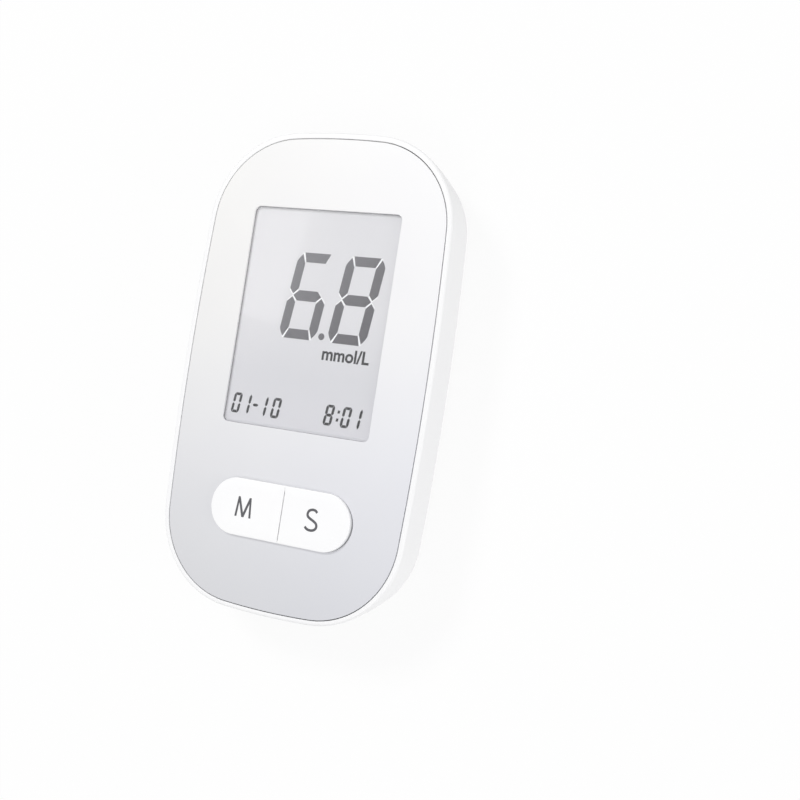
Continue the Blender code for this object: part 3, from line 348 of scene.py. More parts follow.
def crowned_outline(half_width, half_length, corner, side_crown, end_crown):
    """Rounded rectangles whose sides and ends are wide arcs, one a row.

    The side arc is centred side_crown inside the side, the end arc end_crown inside the end,
    and the corner where circles of those radii less its own cross. The first quarter runs from
    the +X axis to the +Y axis and is mirrored for the rest.
    """
    width, length, r, side, end = columns(half_width, half_length, corner, side_crown, end_crown)
    side_x = width - side
    end_y = length - end
    apart = np.hypot(side_x, end_y)
    along = ((side - r) ** 2 - (end - r) ** 2 + apart ** 2) / (2 * apart)
    across = np.sqrt((side - r) ** 2 - along ** 2)
    corner_x = side_x - along * side_x / apart - across * end_y / apart
    corner_y = along * end_y / apart - across * side_x / apart
    side_end = np.arctan2(corner_y, corner_x - side_x)
    corner_end = np.arctan2(corner_y - end_y, corner_x)
    quarter = np.concatenate([
        arc(side_x, 0, side, 0, side_end, SIDE_STEPS),
        arc(corner_x, corner_y, r, side_end, corner_end, CORNER_STEPS)[:, 1:],
        arc(0, end_y, end, corner_end, np.pi / 2, END_STEPS)[:, 1:]], axis=1)
    half = np.concatenate([quarter, quarter[:, -2::-1] * (-1, 1)], axis=1)
    return np.concatenate([half, -half[:, 1:-1]], axis=1)


def quarter_inset(radius, into):
    """How far a quarter round has turned in at a depth into it: r - sqrt(r^2 - into^2)."""
    into = np.maximum(into, 0)
    return radius - np.sqrt(np.maximum(radius ** 2 - into ** 2, 0))


def body_rings(heights, inward=0.0):
    """Rings of the body at heights, each drawn in by a wall.

    Sides and ends draw in with the depth below the face to the power 1.5, with a quarter round
    at the back and a small one at the rim.
    """
    heights, inward = (c[:, 0] for c in columns(heights, inward))
    depth = THICKNESS - heights
    turn = quarter_inset(BACK_ROUND, BACK_ROUND - heights)
    turn = turn + quarter_inset(RIM_FILLET, RIM_FILLET - depth)
    draw = (np.maximum(depth, 0) / THICKNESS) ** TAPER_POWER
    side = SIDE_TAPER * draw + turn
    end = END_TAPER * draw + turn
    corner = CORNER - CORNER_TAPER * end
    outline = crowned_outline(HALF_WIDTH - side - inward, HALF_LENGTH - end - inward,
                              corner - inward, SIDE_CROWN - inward, END_CROWN - inward)
    return at_heights(outline, heights)


def panel_rings(heights, grow=0.0):
    """Rings of the face panel's outline, each wider by a growth, at the panel's own centre."""
    heights, grow = (c[:, 0] for c in columns(heights, grow))
    outline = crowned_outline(PANEL_HALF_WIDTH + grow, PANEL_HALF_LENGTH + grow,
                              PANEL_CORNER + grow, SIDE_CROWN + grow, END_CROWN + grow)
    return at_heights(outline + PANEL_SHIFT, heights)


def rounded_rings(half, corner, centre, heights, grow=0.0, steps=14):
    """Rings of a rectangle with round corners, each wider by a growth."""
    heights, grow = columns(heights, grow)
    radius = corner + grow
    quarter = arc(half[0] - corner, half[1] - corner, radius, 0, np.pi / 2, steps)
    outline = np.concatenate([quarter, quarter[:, ::-1] * (-1, 1)], axis=1)
    outline = np.concatenate([outline, -outline], axis=1) + np.asarray(centre, float)
    return at_heights(outline, heights)


def wall_heights(low, high):
    """Heights between two limits, closest together in the back's quarter round and the rim's."""
    back = BACK_ROUND * (1 - np.sin(np.linspace(0, np.pi / 2, BACK_STEPS + 1)))
    wall = np.linspace(BACK_ROUND, THICKNESS - RIM_FILLET, WALL_STEPS + 1)
    inside = np.concatenate([back, wall, THICKNESS - RIM_FILLET * (1 - RISE)])
    inside = np.unique(np.round(inside[(inside > low + 0.05) & (inside < high - 0.02)], 6))
    return np.concatenate([[low], inside, [high]])


def flare(edge):
    """Heights and growths of an opening through the panel, its top edge a quarter round."""
    heights = np.concatenate([[PANEL_BOTTOM - PAST], THICKNESS - edge + edge * RISE,
                              [THICKNESS + PAST]])
    return heights, np.concatenate([[0], edge * DRAW, [edge]])


# Node trees

class Wiring:
    """Adds nodes to one tree; a value that is a socket is joined, and any other is set."""

    def __init__(self, tree):
        self.tree = tree

    def add(self, kind, values=None, **settings):
        node = self.tree.nodes.new("ShaderNode" + kind)
        for key, value in settings.items():
            setattr(node, key, value)
        for key, value in (values or {}).items():
            self.put(value, node.inputs[key])
        return node

    def put(self, value, socket):
        if isinstance(value, bpy.types.NodeSocket):
            self.tree.links.new(value, socket)
        else:
            socket.default_value = value

    def fill(self, node, **values):
        """Put values in a node's inputs, named with underscores in place of spaces."""
        for key, value in values.items():
            self.put(value, node.inputs[key.replace("_", " ")])

    def group(self, tree, **values):
        node = self.add("Group", node_tree=tree)
        self.fill(node, **values)
        return node.outputs

    def mix(self, factor, first, second, blend="MIX"):
        """Mix of two colours."""
        node = self.add("Mix", {0: factor, 6: first, 7: second}, data_type="RGBA", blend_type=blend)
        return node.outputs[2]

    def math(self, operation, *values, clamp=False):
        node = self.add("Math", dict(enumerate(values)), operation=operation, use_clamp=clamp)
        return node.outputs[0]

    def vector(self, operation, *values):
        node = self.add("VectorMath", dict(enumerate(values)), operation=operation)
        return node.outputs["Vector"]

    def spread(self, value, low, high, to_low=0.0, to_high=1.0, smooth=False):
        """The value carried from one range to another, held at its ends."""
        kind = "SMOOTHSTEP" if smooth else "LINEAR"
        node = self.add("MapRange", {0: value, 1: low, 2: high, 3: to_low, 4: to_high},
                        interpolation_type=kind)
        return node.outputs[0]

    def ramp(self, value, stops):
        """Colour ramp through (place, colour) stops."""
        node = self.add("ValToRGB", {0: value})
        band = node.color_ramp.elements
        while len(band) < len(stops):
            band.new(0.5)
        for stop, (place, colour) in zip(band, stops):
            stop.position = place
            stop.color = colour
        return node.outputs[0]

    def place(self):
        """Object coordinates, whole and as x, y and z."""
        where = self.add("TexCoord").outputs["Object"]
        split = self.add("SeparateXYZ", {0: where})
        return where, split.outputs[0], split.outputs[1], split.outputs[2]

    def noise(self, where, scale, detail=2.0, rough=0.5):
        node = self.add("TexNoise", {"Vector": where, "Scale": scale, "Detail": detail,
                                     "Roughness": rough})
        return node.outputs[0]

    def bump(self, height, strength, distance):
        """Normal over a height whose full depth is a distance in metres."""
        node = self.add("Bump", {"Strength": strength, "Distance": distance, "Height": height})
        return node.outputs[0]

    def rays(self, *kinds):
        """One for a ray of any of these kinds, and zero for others."""
        path = self.add("LightPath").outputs
        found = path[f"Is {kinds[0]} Ray"]
        for kind in kinds[1:]:
            found = self.math("MAXIMUM", found, path[f"Is {kind} Ray"])
        return found

    def show(self, output, factor, first, second):
        """Join a mix of two shader nodes to an output."""
        both = self.add("MixShader", {0: factor, 1: first.outputs[0], 2: second.outputs[0]})
        self.put(both.outputs[0], output.inputs[0])


def rgba(red, green=None, blue=None):
    """A colour with full alpha, grey where only one value is given."""
    return (red, red if green is None else green, red if blue is None else blue, 1.0)


def new_material(name):
    """Material with its Principled shader and a wiring for its nodes."""
    finish = bpy.data.materials.new(name)
    finish.use_nodes = True
    shader = finish.node_tree.nodes["Principled BSDF"]
    return finish, shader, Wiring(finish.node_tree)


def make_skin(name, texture, own_input, clouds, middle):
    """Node group of a surface: clouds mix its two tones, and a fine height varies its polish.

    The texture gives the clouds and the height from the wiring and the group's inputs.
    """
    tree = bpy.data.node_groups.new(name, "ShaderNodeTree")
    for label, kind, default in (
            ("Colour", "Color", rgba(0.8)), ("Shade", "Color", rgba(0.75)), own_input,
            ("Roughness", "Float", 0.4), ("Spread", "Float", 0.08)):
        socket = tree.interface.new_socket(name=label, in_out="INPUT",
                                           socket_type="NodeSocket" + kind)
        socket.default_value = default
    for label, kind in (("Colour", "Color"), ("Roughness", "Float"), ("Height", "Float")):
        tree.interface.new_socket(name=label, in_out="OUTPUT", socket_type="NodeSocket" + kind)
    wires = Wiring(tree)
    given = tree.nodes.new("NodeGroupInput").outputs
    cloud, height = texture(wires, given)
    shift = wires.math("MULTIPLY", wires.math("SUBTRACT", height, middle), given["Spread"])
    wires.fill(tree.nodes.new("NodeGroupOutput"),
               Colour=wires.mix(wires.spread(cloud, *clouds), given["Colour"], given["Shade"]),
               Roughness=wires.math("ADD", given["Roughness"], shift), Height=height)
    return tree


def moulded_texture(wires, given):
    """Faint clouds of tone, and the fine eroded grain of a moulding tool."""
    where = wires.place()[0]
    return wires.noise(where, 60.0, 3.0), wires.noise(where, given["Grain Scale"], 2.0, 0.6)


def brushed_texture(wires, given):
    """Faint stains, and streaks along one axis as drawing or rolling leaves them."""
    where = wires.place()[0]
    stretched = wires.vector("MULTIPLY", where, given["Streaks"])
    return wires.noise(where, 400.0, 3.0), wires.noise(stretched, 1.0, 2.0)


SKIN = make_skin("moulded_skin", moulded_texture, ("Grain Scale", "Float", 3500.0),
                 (0.35, 0.65), 0.5)
METAL = make_skin("brushed_metal", brushed_texture, ("Streaks", "Vector", (4000.0, 300.0, 4000.0)),
                  (0.35, 0.7), 0.4)


def clothe(wires, shader, group, strength, depth, **values):
    """Give a shader the colour, roughness and bump of a node group."""
    skin = wires.group(group, **values)
    wires.fill(shader, Base_Color=skin["Colour"], Roughness=skin["Roughness"],
               Normal=wires.bump(skin["Height"], strength, depth))


def moulded(name, colour, shade, roughness, grain=3500.0, depth=2e-6):
    """Moulded plastic or rubber with its own tone, grain and polish."""
    finish, shader, wires = new_material(name)
    clothe(wires, shader, SKIN, 0.6, depth, Colour=colour, Shade=shade, Grain_Scale=grain,
           Roughness=roughness, Spread=0.08)
    return finish


def metal(name, colour, stain, streaks, roughness=0.25, spread=0.12):
    """Bare or plated metal with streaks along one axis."""
    finish, shader, wires = new_material(name)
    clothe(wires, shader, METAL, 0.5, 1.5e-6, Colour=colour, Shade=stain, Streaks=streaks,
           Roughness=roughness, Spread=spread)
    wires.fill(shader, Metallic=1.0)
    return finish


# Finishes of the outside

WHITE_CASE = moulded("white_case", rgba(0.93, 0.93, 0.935), rgba(0.92, 0.92, 0.93), 0.36)
WHITE_KEY = moulded("white_key", rgba(0.955, 0.955, 0.96), rgba(0.945, 0.945, 0.955), 0.30,
                    5000.0, 1e-6)
KEY_PRINT = moulded("key_print", rgba(0.095, 0.095, 0.105), rgba(0.11, 0.11, 0.12), 0.5,
                    6000.0, 1e-6)


def make_panel_finish():
    """Pearl grey panel that deepens from the display end to the foot, a little more on its left."""
    finish, shader, wires = new_material("pearl_grey_panel")
    x, y = wires.place()[1:3]
    along = wires.spread(y, -0.046, 0.046)
    tone = wires.ramp(along, [(0.0, rgba(0.660, 0.668, 0.700)), (0.17, rgba(0.716, 0.723, 0.756)),
                              (0.33, rgba(0.772, 0.777, 0.808)), (0.46, rgba(0.812, 0.816, 0.837)),
                              (0.62, rgba(0.853, 0.853, 0.863)), (0.8, rgba(0.873, 0.873, 0.878)),
                              (1.0, rgba(0.890, 0.890, 0.893))])
    side = wires.mix(wires.spread(x, -0.026, 0.026), rgba(0.990, 0.984, 0.966),
                     rgba(1.020, 1.018, 1.026))
    tone = wires.mix(1.0, tone, side, "MULTIPLY")
    shade = wires.mix(1.0, tone, rgba(0.985, 0.985, 0.99), "MULTIPLY")
    clothe(wires, shader, SKIN, 0.5, 1.5e-6, Colour=tone, Shade=shade, Grain_Scale=4200.0,
           Roughness=0.42, Spread=0.08)
    return finish


def make_lens_finish():
    """Clear window plate that lets light through without a hard shadow; its very rim is painted
    dark as shade, deepening the gap's line round the window.
    """
    finish, shader, wires = new_material("clear_window_plate")
    where = wires.place()[0]
    haze = wires.noise(where, 700.0, 3.0)
    tint = wires.mix(haze, rgba(0.985, 0.985, 0.99), rgba(0.975, 0.98, 0.985))
    across = wires.vector("ABSOLUTE", wires.vector("SUBTRACT", where, (0, WINDOW_Y * MM, 0)))
    across = wires.vector("MULTIPLY", across, (1, 1, 0))
    flat = [(half - WINDOW_CORNER) * MM for half in WINDOW_HALF]
    outside = wires.vector("MAXIMUM", wires.vector("SUBTRACT", across, (*flat, 0)), (0, 0, 0))
    reach = wires.add("VectorMath", {0: outside}, operation="LENGTH").outputs["Value"]
    # Painted shade: a thin band at the plate's rim is tinted dark, deepening the shadow line of the
    # gap round the window.
    rim = wires.math("GREATER_THAN", reach, (WINDOW_CORNER - PLATE_SHADE_BAND) * MM)
    wires.fill(shader, Base_Color=wires.mix(rim, tint, rgba(0.25, 0.25, 0.27)),
               Roughness=wires.spread(haze, 0.3, 0.8, 0.015, 0.05), Transmission_Weight=1.0,
               IOR=1.49, Specular_IOR_Level=0.0, Coat_Weight=0.4, Coat_Roughness=0.10)
    wires.show(finish.node_tree.nodes["Material Output"], wires.rays("Shadow", "Diffuse"), shader,
               wires.add("BsdfTransparent"))
    return finish


def make_display_film():
    """Reflective grey of a resting liquid crystal display, a little deeper towards the foot;
    painted light lifts it along its bottom edge and adds a painted sheen at its upper left.
    """
    finish, shader, wires = new_material("display_film")
    where, x, y = wires.place()[:3]
    down = wires.spread(y, 0.032, -0.012)
    # The last stop is painted light: it lightens the film along its bottom edge, against the shade
    # that the window's wall casts there.
    tone = wires.ramp(down, [(0.0, rgba(0.715, 0.712, 0.735)), (0.45, rgba(0.725, 0.722, 0.745)),
                             (0.75, rgba(0.664, 0.664, 0.695)), (0.962, rgba(0.674, 0.670, 0.706)),
                             (0.985, rgba(0.740, 0.736, 0.775))])
    # Painted sheen: beyond a slanting line the film's upper left is made lighter, where the
    # window's gloss falls.
    corner = wires.math("SUBTRACT", wires.math("MULTIPLY", y, 0.45), x)
    light = wires.spread(corner, 0.004, 0.020, smooth=True)
    tone = wires.mix(light, tone, wires.mix(1.0, tone, rgba(1.035, 1.03, 1.025), "MULTIPLY"))
    grain = wires.noise(where, 6000.0, 1.0)
    tone = wires.mix(wires.spread(grain, 0.3, 0.7, 0.0, 0.5), tone,
                     wires.mix(1.0, tone, rgba(0.975, 0.975, 0.975), "MULTIPLY"))
    wires.fill(shader, Base_Color=tone, Roughness=wires.spread(grain, 0.3, 0.7, 0.34, 0.42),
               Specular_IOR_Level=0.2)
    return finish


def make_segment_finish(name, upper, lower, x_low, x_high):
    """Marks of the display, whose tone turns from the upper left to the lower right."""
    finish, shader, wires = new_material(name)
    where, x, y = wires.place()[:3]
    slope = wires.math("SUBTRACT", x, wires.math("MULTIPLY", y, 0.9))
    grain = wires.noise(where, 5000.0, 1.0)
    speckle = wires.math("MULTIPLY", wires.math("SUBTRACT", grain, 0.5), 0.2)
    share = wires.math("ADD", wires.spread(slope, x_low * MM, x_high * MM), speckle)
    wires.fill(shader, Base_Color=wires.mix(share, upper, lower),
               Roughness=wires.spread(grain, 0.3, 0.7, 0.40, 0.50), Specular_IOR_Level=0.2)
    return finish


PANEL_FINISH = make_panel_finish()
LENS_FINISH = make_lens_finish()
DISPLAY_FILM = make_display_film()
SEGMENT_DARK = make_segment_finish("segment_dark", rgba(0.180, 0.178, 0.192),
                                   rgba(0.087, 0.084, 0.096), -24, 8)
SEGMENT_GAP = make_segment_finish("segment_gap", rgba(0.93, 0.93, 0.94), rgba(0.88, 0.88, 0.90),
                                  -24, 6)
SMALL_MARKS = make_segment_finish("small_marks", rgba(0.016, 0.016, 0.02),
                                  rgba(0.005, 0.005, 0.007), -10, 20)


# Front half of the case

def make_case_front():
    """Ring solid from the ceiling down the cavity, round the foot, up the skin into the recess."""
    foot = SHELL_BOTTOM + EDGE_BREAK
    rings = np.concatenate([
        body_rings(wall_heights(LAP_TOP, CEILING)[::-1], WALL),
        body_rings([LAP_TOP, foot, SHELL_BOTTOM], [LAP, LAP, LAP + EDGE_BREAK]),
        body_rings([SHELL_BOTTOM], EDGE_BREAK),
        body_rings(wall_heights(foot, THICKNESS)),
        panel_rings(THICKNESS - EDGE_BREAK * DRAW, SEAM + EDGE_BREAK * (1 - RISE)),
        panel_rings([RECESS_FLOOR], SEAM)])
    case = ring_solid("case_front", rings)
    join(case, *rods(CASE_SCREWS, *BOSS), *rods(BOARD_SCREWS, *BOARD_POST))
    low, high = cad_box("lcd_frame")
    cut(case, block("display_way", (low[0] - FIT, low[1] - FIT, CEILING - PAST),
                    (high[0] + FIT, high[1] + FIT, RECESS_FLOOR + PAST)))
    keys = rounded_rings((KEYS_HALF_LENGTH, KEYS_RADIUS), KEYS_RADIUS, (KEYS_X, KEYS_Y),
                         [CEILING - PAST, RECESS_FLOOR + PAST], FIT, 24)
    cut(case, ring_solid("keys_way", keys), *rods(CASE_SCREWS, *BOSS_HOLE),
        *rods(BOARD_SCREWS, *BOARD_HOLE), *strip_port())
    return polish(case)


def strip_port():
    """Slot through the end wall, and the round scoop that leads a strip into it."""
    middle = (PORT_LOW + PORT_HIGH) / 2
    inside = cad_box("strip_connector")[1][1] - PAST
    slot = block("slot", (-PORT_HALF, inside, PORT_LOW), (PORT_HALF, HALF_LENGTH + PAST, PORT_HIGH))
    centre = body_rings([middle])[0, :, 1].max() + SCOOP_RADIUS - SCOOP_DEPTH
    angle = np.linspace(0, 2 * np.pi, ROUND_SIDES, endpoint=False)
    section = np.stack([centre + SCOOP_RADIUS * np.cos(angle),
                        middle + SCOOP_RADIUS * np.sin(angle)], 1)
    return slot, bar_across("scoop", section, PORT_HALF)


def make_face_panel():
    """Plate with a round outer edge, and openings whose upper edges are rounded too.

    The keys' opening reaches past their right end by the square of the share of the way into it.
    """
    rings = np.concatenate([
        panel_rings([PANEL_BOTTOM]),
        panel_rings(THICKNESS - PANEL_EDGE + PANEL_EDGE * RISE, -PANEL_EDGE * DRAW)])
    panel = ring_solid("face_panel", rings)
    window = rounded_rings(WINDOW_HALF, WINDOW_CORNER, (0, WINDOW_Y), *flare(PANEL_EDGE))
    seat = rounded_rings(LENS_SEAT_HALF, WINDOW_CORNER, (0, WINDOW_Y),
                         [PANEL_BOTTOM - PAST, LENS_SEAT_TOP])
    radius = KEYS_RADIUS + OPENING_GAP
    keys = rounded_rings((KEYS_HALF_LENGTH + OPENING_GAP, radius), radius, (KEYS_X, KEYS_Y),
                         *flare(OPENING_EDGE), 28)
    into_end = np.maximum(keys[..., :1] - (KEYS_X + KEYS_END_X), 0) / radius
    keys[..., :2] += into_end ** 2 * OPENING_REACH
    cut(panel, ring_solid("window", window), ring_solid("lens_seat", seat),
        ring_solid("keys_opening", keys))
    return polish(panel)


# Keys

def smooth_share(value, limits):
    """Share of the way between two limits, eased at both: 3 s^2 - 2 s^3."""
    share = np.clip((value - limits[0]) / (limits[1] - limits[0]), 0, 1)
    return 3 * share ** 2 - 2 * share ** 3


def key_rings(side, heights, inset, split_inset):
    """Rings of one key: a half pill, each ring drawn in, whose split edge closes at its ends."""
    z, inset, split_inset = columns(heights, inset, split_inset)
    radius = KEYS_RADIUS - inset
    across = radius * np.cos(np.linspace(0, np.pi, KEY_STEPS + 1))[None, :]
    fade = np.minimum(smooth_share(KEYS_RADIUS - across, SPLIT_FADE_TOP),
                      smooth_share(KEYS_RADIUS + across, SPLIT_FADE_FOOT))
    deep = np.maximum(split_inset - KEY_SPLIT_EDGE, 0)
    closed = SPLIT_CLOSED + deep + SPLIT_CLOSED_SHARE * (split_inset - deep)
    split_x = closed + (KEY_SPLIT + split_inset - closed) * fade
    outline = np.concatenate([
        arc(KEYS_END_X + side * KEYS_X, KEYS_Y, radius, -np.pi / 2, np.pi / 2, KEY_STEPS),
        np.stack([split_x + side * SPLIT_X, KEYS_Y + across], axis=2)], axis=1)
    return at_heights(outline * (side, 1), z[:, 0])


def make_key(name, side):
    """Hollow cap with a stop flange: up the inside, round the foot, up the wall and over the top.

    The top rises over its rim by the crown times sin of the share of the way in.
    """
    rim = KEY_TOP - KEY_CROWN
    edge_z = rim - KEY_EDGE + KEY_EDGE * RISE
    split_in = quarter_inset(KEY_SPLIT_EDGE, edge_z - (rim - KEY_SPLIT_EDGE))
    way = np.linspace(0, 1, 11)[1:]
    heights = np.concatenate([
        [KEY_ROOF, KEY_FLANGE_LOW, KEY_FLANGE_LOW, KEY_FLANGE_HIGH, KEY_FLANGE_HIGH],
        edge_z, rim + KEY_CROWN * np.sin(way * np.pi / 2)])
    inset = np.concatenate([[KEY_WALL, KEY_WALL, -KEY_FLANGE, -KEY_FLANGE, 0], KEY_EDGE * DRAW,
                            KEY_EDGE + CROWN_REACH * way])
    split = np.concatenate([[KEY_WALL, KEY_WALL, 0, 0, 0], split_in,
                            KEY_SPLIT_EDGE + CROWN_SPLIT_REACH * way])
    key = ring_solid(name, key_rings(side, heights, inset, split))
    join(key, *rods([(side * KEY_CENTRE_X, KEYS_Y)], KEY_POST, KEY_FLANGE_LOW, KEY_POST_ROOT))
    return polish(key)


# Marks on the display and keys: figures by their centre and half size, a dot by its radius

SEGMENTS = {"0": "abcdef", "1": "bc", "6": "acdefg", "8": "abcdefg", "-": "g"}
BIG_DIGITS = (("6", (-1.76, 14.94)), ("8", (9.04, 14.95)))
BIG_HALF = np.array([4.2, 8.48])
BIG_STROKE = 1.90
BIG_GAP = 0.26
GAP_INSET = 0.04
SLANT = 0.118
DOT = (2.68, 7.42, 0.66)
DATE_Y = -7.41
TIME_Y = -7.25
SMALL_DIGITS = (("0", (-13.83, DATE_Y)), ("1", (-11.62, DATE_Y)), ("-", (-9.50, DATE_Y)),
                ("1", (-7.81, DATE_Y)), ("0", (-4.80, DATE_Y)), ("8", (6.91, TIME_Y)),
                ("0", (10.60, TIME_Y)), ("1", (12.84, TIME_Y)))
SMALL_HALF = (0.93, 2.0)
SMALL_STROKE = 0.53
SMALL_GAP = 0.045
COLON = ((8.92, -6.40), (8.80, -7.94))
COLON_DOT = np.array([(-0.27, -0.3), (0.2, -0.3), (0.27, 0.3), (-0.2, 0.3)])
FILM_CORNER = 0.4
FILM_LOW = 13.1
FILM_TOP = 14.2
FILM_EDGE = 0.03
FILM_ROOM = 0.05
GAP_HEIGHTS = (FILM_TOP + 0.001, FILM_TOP + 0.003)
MARK_HEIGHTS = (FILM_TOP + 0.004, FILM_TOP + 0.016)
UNIT_SPAN = (3.45, 13.59)
UNIT_FOOT = 3.11
UNIT_SIZE = 3.45
UNIT_BOLD = 0.085
LETTER_M = ((-7.67, -29.25), 1.60, 1.30, 3.9, 0.46)
LETTER_S = ((8.40, -25.78), (7.95, -25.42), (7.32, -25.36), (6.66, -25.64), (6.41, -26.20),
            (6.56, -26.75), (7.12, -27.10), (7.82, -27.42), (8.44, -27.84), (8.63, -28.40),
            (8.38, -28.93), (7.80, -29.21), (7.10, -29.23), (6.53, -29.02), (6.20, -28.70))
LETTER_S_WIDTH = 0.49
LETTER_HEIGHTS = (KEY_TOP + 0.001, KEY_TOP + 0.012)


def slab(name, polygons, heights):
    """Thin flat pieces, one for each polygon, between two heights."""
    points = []
    faces = []
    for polygon in polygons:
        faces += ring_faces(2, len(polygon), len(points))
        points.extend(at_heights([polygon, polygon], heights).reshape(-1, 3))
    return to_mesh(name, points, faces, loose=True)


def digit(sign, centre, half, stroke, gap, free_gap=None):
    """Polygons of one seven-segment sign: an upright figure sheared by its slant.

    Each end bar is a trapezium, each side bar a bar with slanting ends, mirrored for the others.
    The free gap is the one at an end that meets no other bar, as on the top of a six.
    """
    w, h = half
    inner = w - stroke
    middle = (w + inner) / 2
    free = gap if free_gap is None or "b" in SEGMENTS[sign] else free_gap
    tip_y = stroke / 2 + 0.3 * gap
    end_bar = [(-middle + 1.4 * gap, h), (middle - 1.4 * gap, h),
               (inner - 0.6 * gap, h - stroke), (-inner + 0.6 * gap, h - stroke)]
    top_bar = [end_bar[0], (middle - 1.4 * free, h), (inner - 0.6 * free, h - stroke), end_bar[3]]
    side_bar = [(-middle, h - 1.1 * gap), (-inner, h - stroke - 1.1 * gap),
                (-inner, stroke / 2 + 1.5 * gap), (-middle, 1.1 * gap),
                (-w, stroke / 2 + 1.4 * gap), (-w, h - stroke),
                (-w + 0.3 * stroke / 1.9, h - 0.66 * stroke)]
    bar = [(-middle + 0.6 * gap, 0), (-inner + gap, tip_y), (inner - gap, tip_y),
           (middle - 0.6 * gap, 0), (inner - gap, -tip_y), (-inner + gap, -tip_y)]
    shapes = {"a": (top_bar, 1, 1), "d": (end_bar, 1, -1), "f": (side_bar, 1, 1),
              "b": (side_bar, -1, 1), "e": (side_bar, 1, -1), "c": (side_bar, -1, -1),
              "g": (bar, 1, 1)}
    made = []
    for key in SEGMENTS[sign]:
        points, flip_x, flip_y = shapes[key]
        points = np.asarray(points) * (flip_x, flip_y)
        points[:, 0] += SLANT * points[:, 1]
        made.append(points + centre)
    return made


def ribbon(centre_line, width, samples=16):
    """Outline of a stroke of even width along a smooth line through points."""
    line = np.asarray(centre_line, float)
    t = np.linspace(0, 1, samples, endpoint=False)[None, :, None]
    before = np.concatenate([[2 * line[0] - line[1]], line[:-1]])
    after = np.concatenate([line[1:], [2 * line[-1] - line[-2]]])
    far = np.concatenate([after[1:], [2 * after[-1] - after[-2]]])
    p0, p1, p2, p3 = (p[:-1, None] for p in (before, line, after, far))
    curve = 0.5 * (2 * p1 + (p2 - p0) * t + (2 * p0 - 5 * p1 + 4 * p2 - p3) * t ** 2
                   + (3 * p1 - p0 - 3 * p2 + p3) * t ** 3)
    curve = np.concatenate([curve.reshape(-1, 2), line[-1:]])
    along = np.gradient(curve, axis=0)
    along /= np.linalg.norm(along, axis=1, keepdims=True)
    normal = np.stack([-along[:, 1], along[:, 0]], 1) * width / 2
    return np.concatenate([curve + normal, (curve - normal)[::-1]])


def letter_m(centre, half_foot, half_top, height, stroke):
    """Outline of a capital M with splayed legs and a vertex on its baseline."""
    s = stroke / 2
    lean = (half_foot - half_top) / height
    slope = height / half_top
    drop = s * np.hypot(1, slope)
    inner_foot = half_foot - s
    meet_y = (slope * inner_foot - drop) / (1 + slope * lean)
    meet_x = inner_foot - lean * meet_y
    peak_x = half_top + s * 0.75
    notch_x = half_top - s * 1.1
    outline = [(half_foot + s, 0.0), (peak_x, height), (notch_x, height), (0.0, drop + 0.15),
               (-notch_x, height), (-peak_x, height), (-half_foot - s, 0.0),
               (-inner_foot, 0.0), (-meet_x, meet_y), (-drop / slope, 0.0), (drop / slope, 0.0),
               (meet_x, meet_y), (inner_foot, 0.0)]
    return np.array(outline) + centre


def make_display_marks():
    """Big figures over pale gaps, their dot, and the small figures of the date and the time."""
    figures = []
    gaps = []
    for sign, centre in BIG_DIGITS:
        figures += digit(sign, centre, BIG_HALF, BIG_STROKE, BIG_GAP)
        gaps += digit(sign, centre, BIG_HALF - GAP_INSET, BIG_STROKE - 2 * GAP_INSET, 0.0, BIG_GAP)
    figures.append(arc(*DOT, 0, 2 * np.pi, 40)[0, :-1])
    small = []
    for sign, centre in SMALL_DIGITS:
        small += digit(sign, centre, SMALL_HALF, SMALL_STROKE, SMALL_GAP)
    small += [COLON_DOT + place for place in COLON]
    for name, shapes, heights, finish in (
            ("lcd_big_figures", figures, MARK_HEIGHTS, SEGMENT_DARK),
            ("lcd_figure_gaps", gaps, GAP_HEIGHTS, SEGMENT_GAP),
            ("lcd_small_figures", small, MARK_HEIGHTS, SMALL_MARKS)):
        dress(slab(name, shapes, heights), finish, "display_grey")


def film_rings(wider, heights, grow=0.0):
    """Rings round the display's front film, wider all round."""
    low, high = cad_box("lcd_front_polariser")
    return rounded_rings((high - low)[:2] / 2 + wider, FILM_CORNER, (high + low)[:2] / 2, heights,
                         grow, 5)


def make_display_face():
    """Front film of the display, laminated up to the underside of the window plate."""
    rings = film_rings(0, [FILM_LOW, FILM_TOP - FILM_EDGE, FILM_TOP], [0, 0, -FILM_EDGE])
    dress(polish(ring_solid("display_face", rings)), DISPLAY_FILM, "display_grey",
          "lcd_front_polariser")


def make_window_plate():
    """Clear plate: a flange behind the panel, a step that fills the window, thinned from below."""
    low, high = cad_box("display_lens")
    flange = rounded_rings((high - low)[:2] / 2, WINDOW_CORNER, (high + low)[:2] / 2,
                           [low[2], high[2]])
    heights = np.append(high[2], PLATE_RISE - PLATE_EDGE + PLATE_EDGE * RISE)
    growths = np.append(0.0, -PLATE_EDGE * DRAW) - PLATE_GAP
    step = rounded_rings(WINDOW_HALF, WINDOW_CORNER, (0, WINDOW_Y), heights, growths)
    plate = ring_solid("window_plate", np.concatenate([flange, step]))
    cut(plate, ring_solid("thinning", film_rings(FILM_ROOM, [FILM_LOW - PAST, PLATE_THIN])))
    dress(polish(plate), LENS_FINISH, "clear_lens", "display_lens")


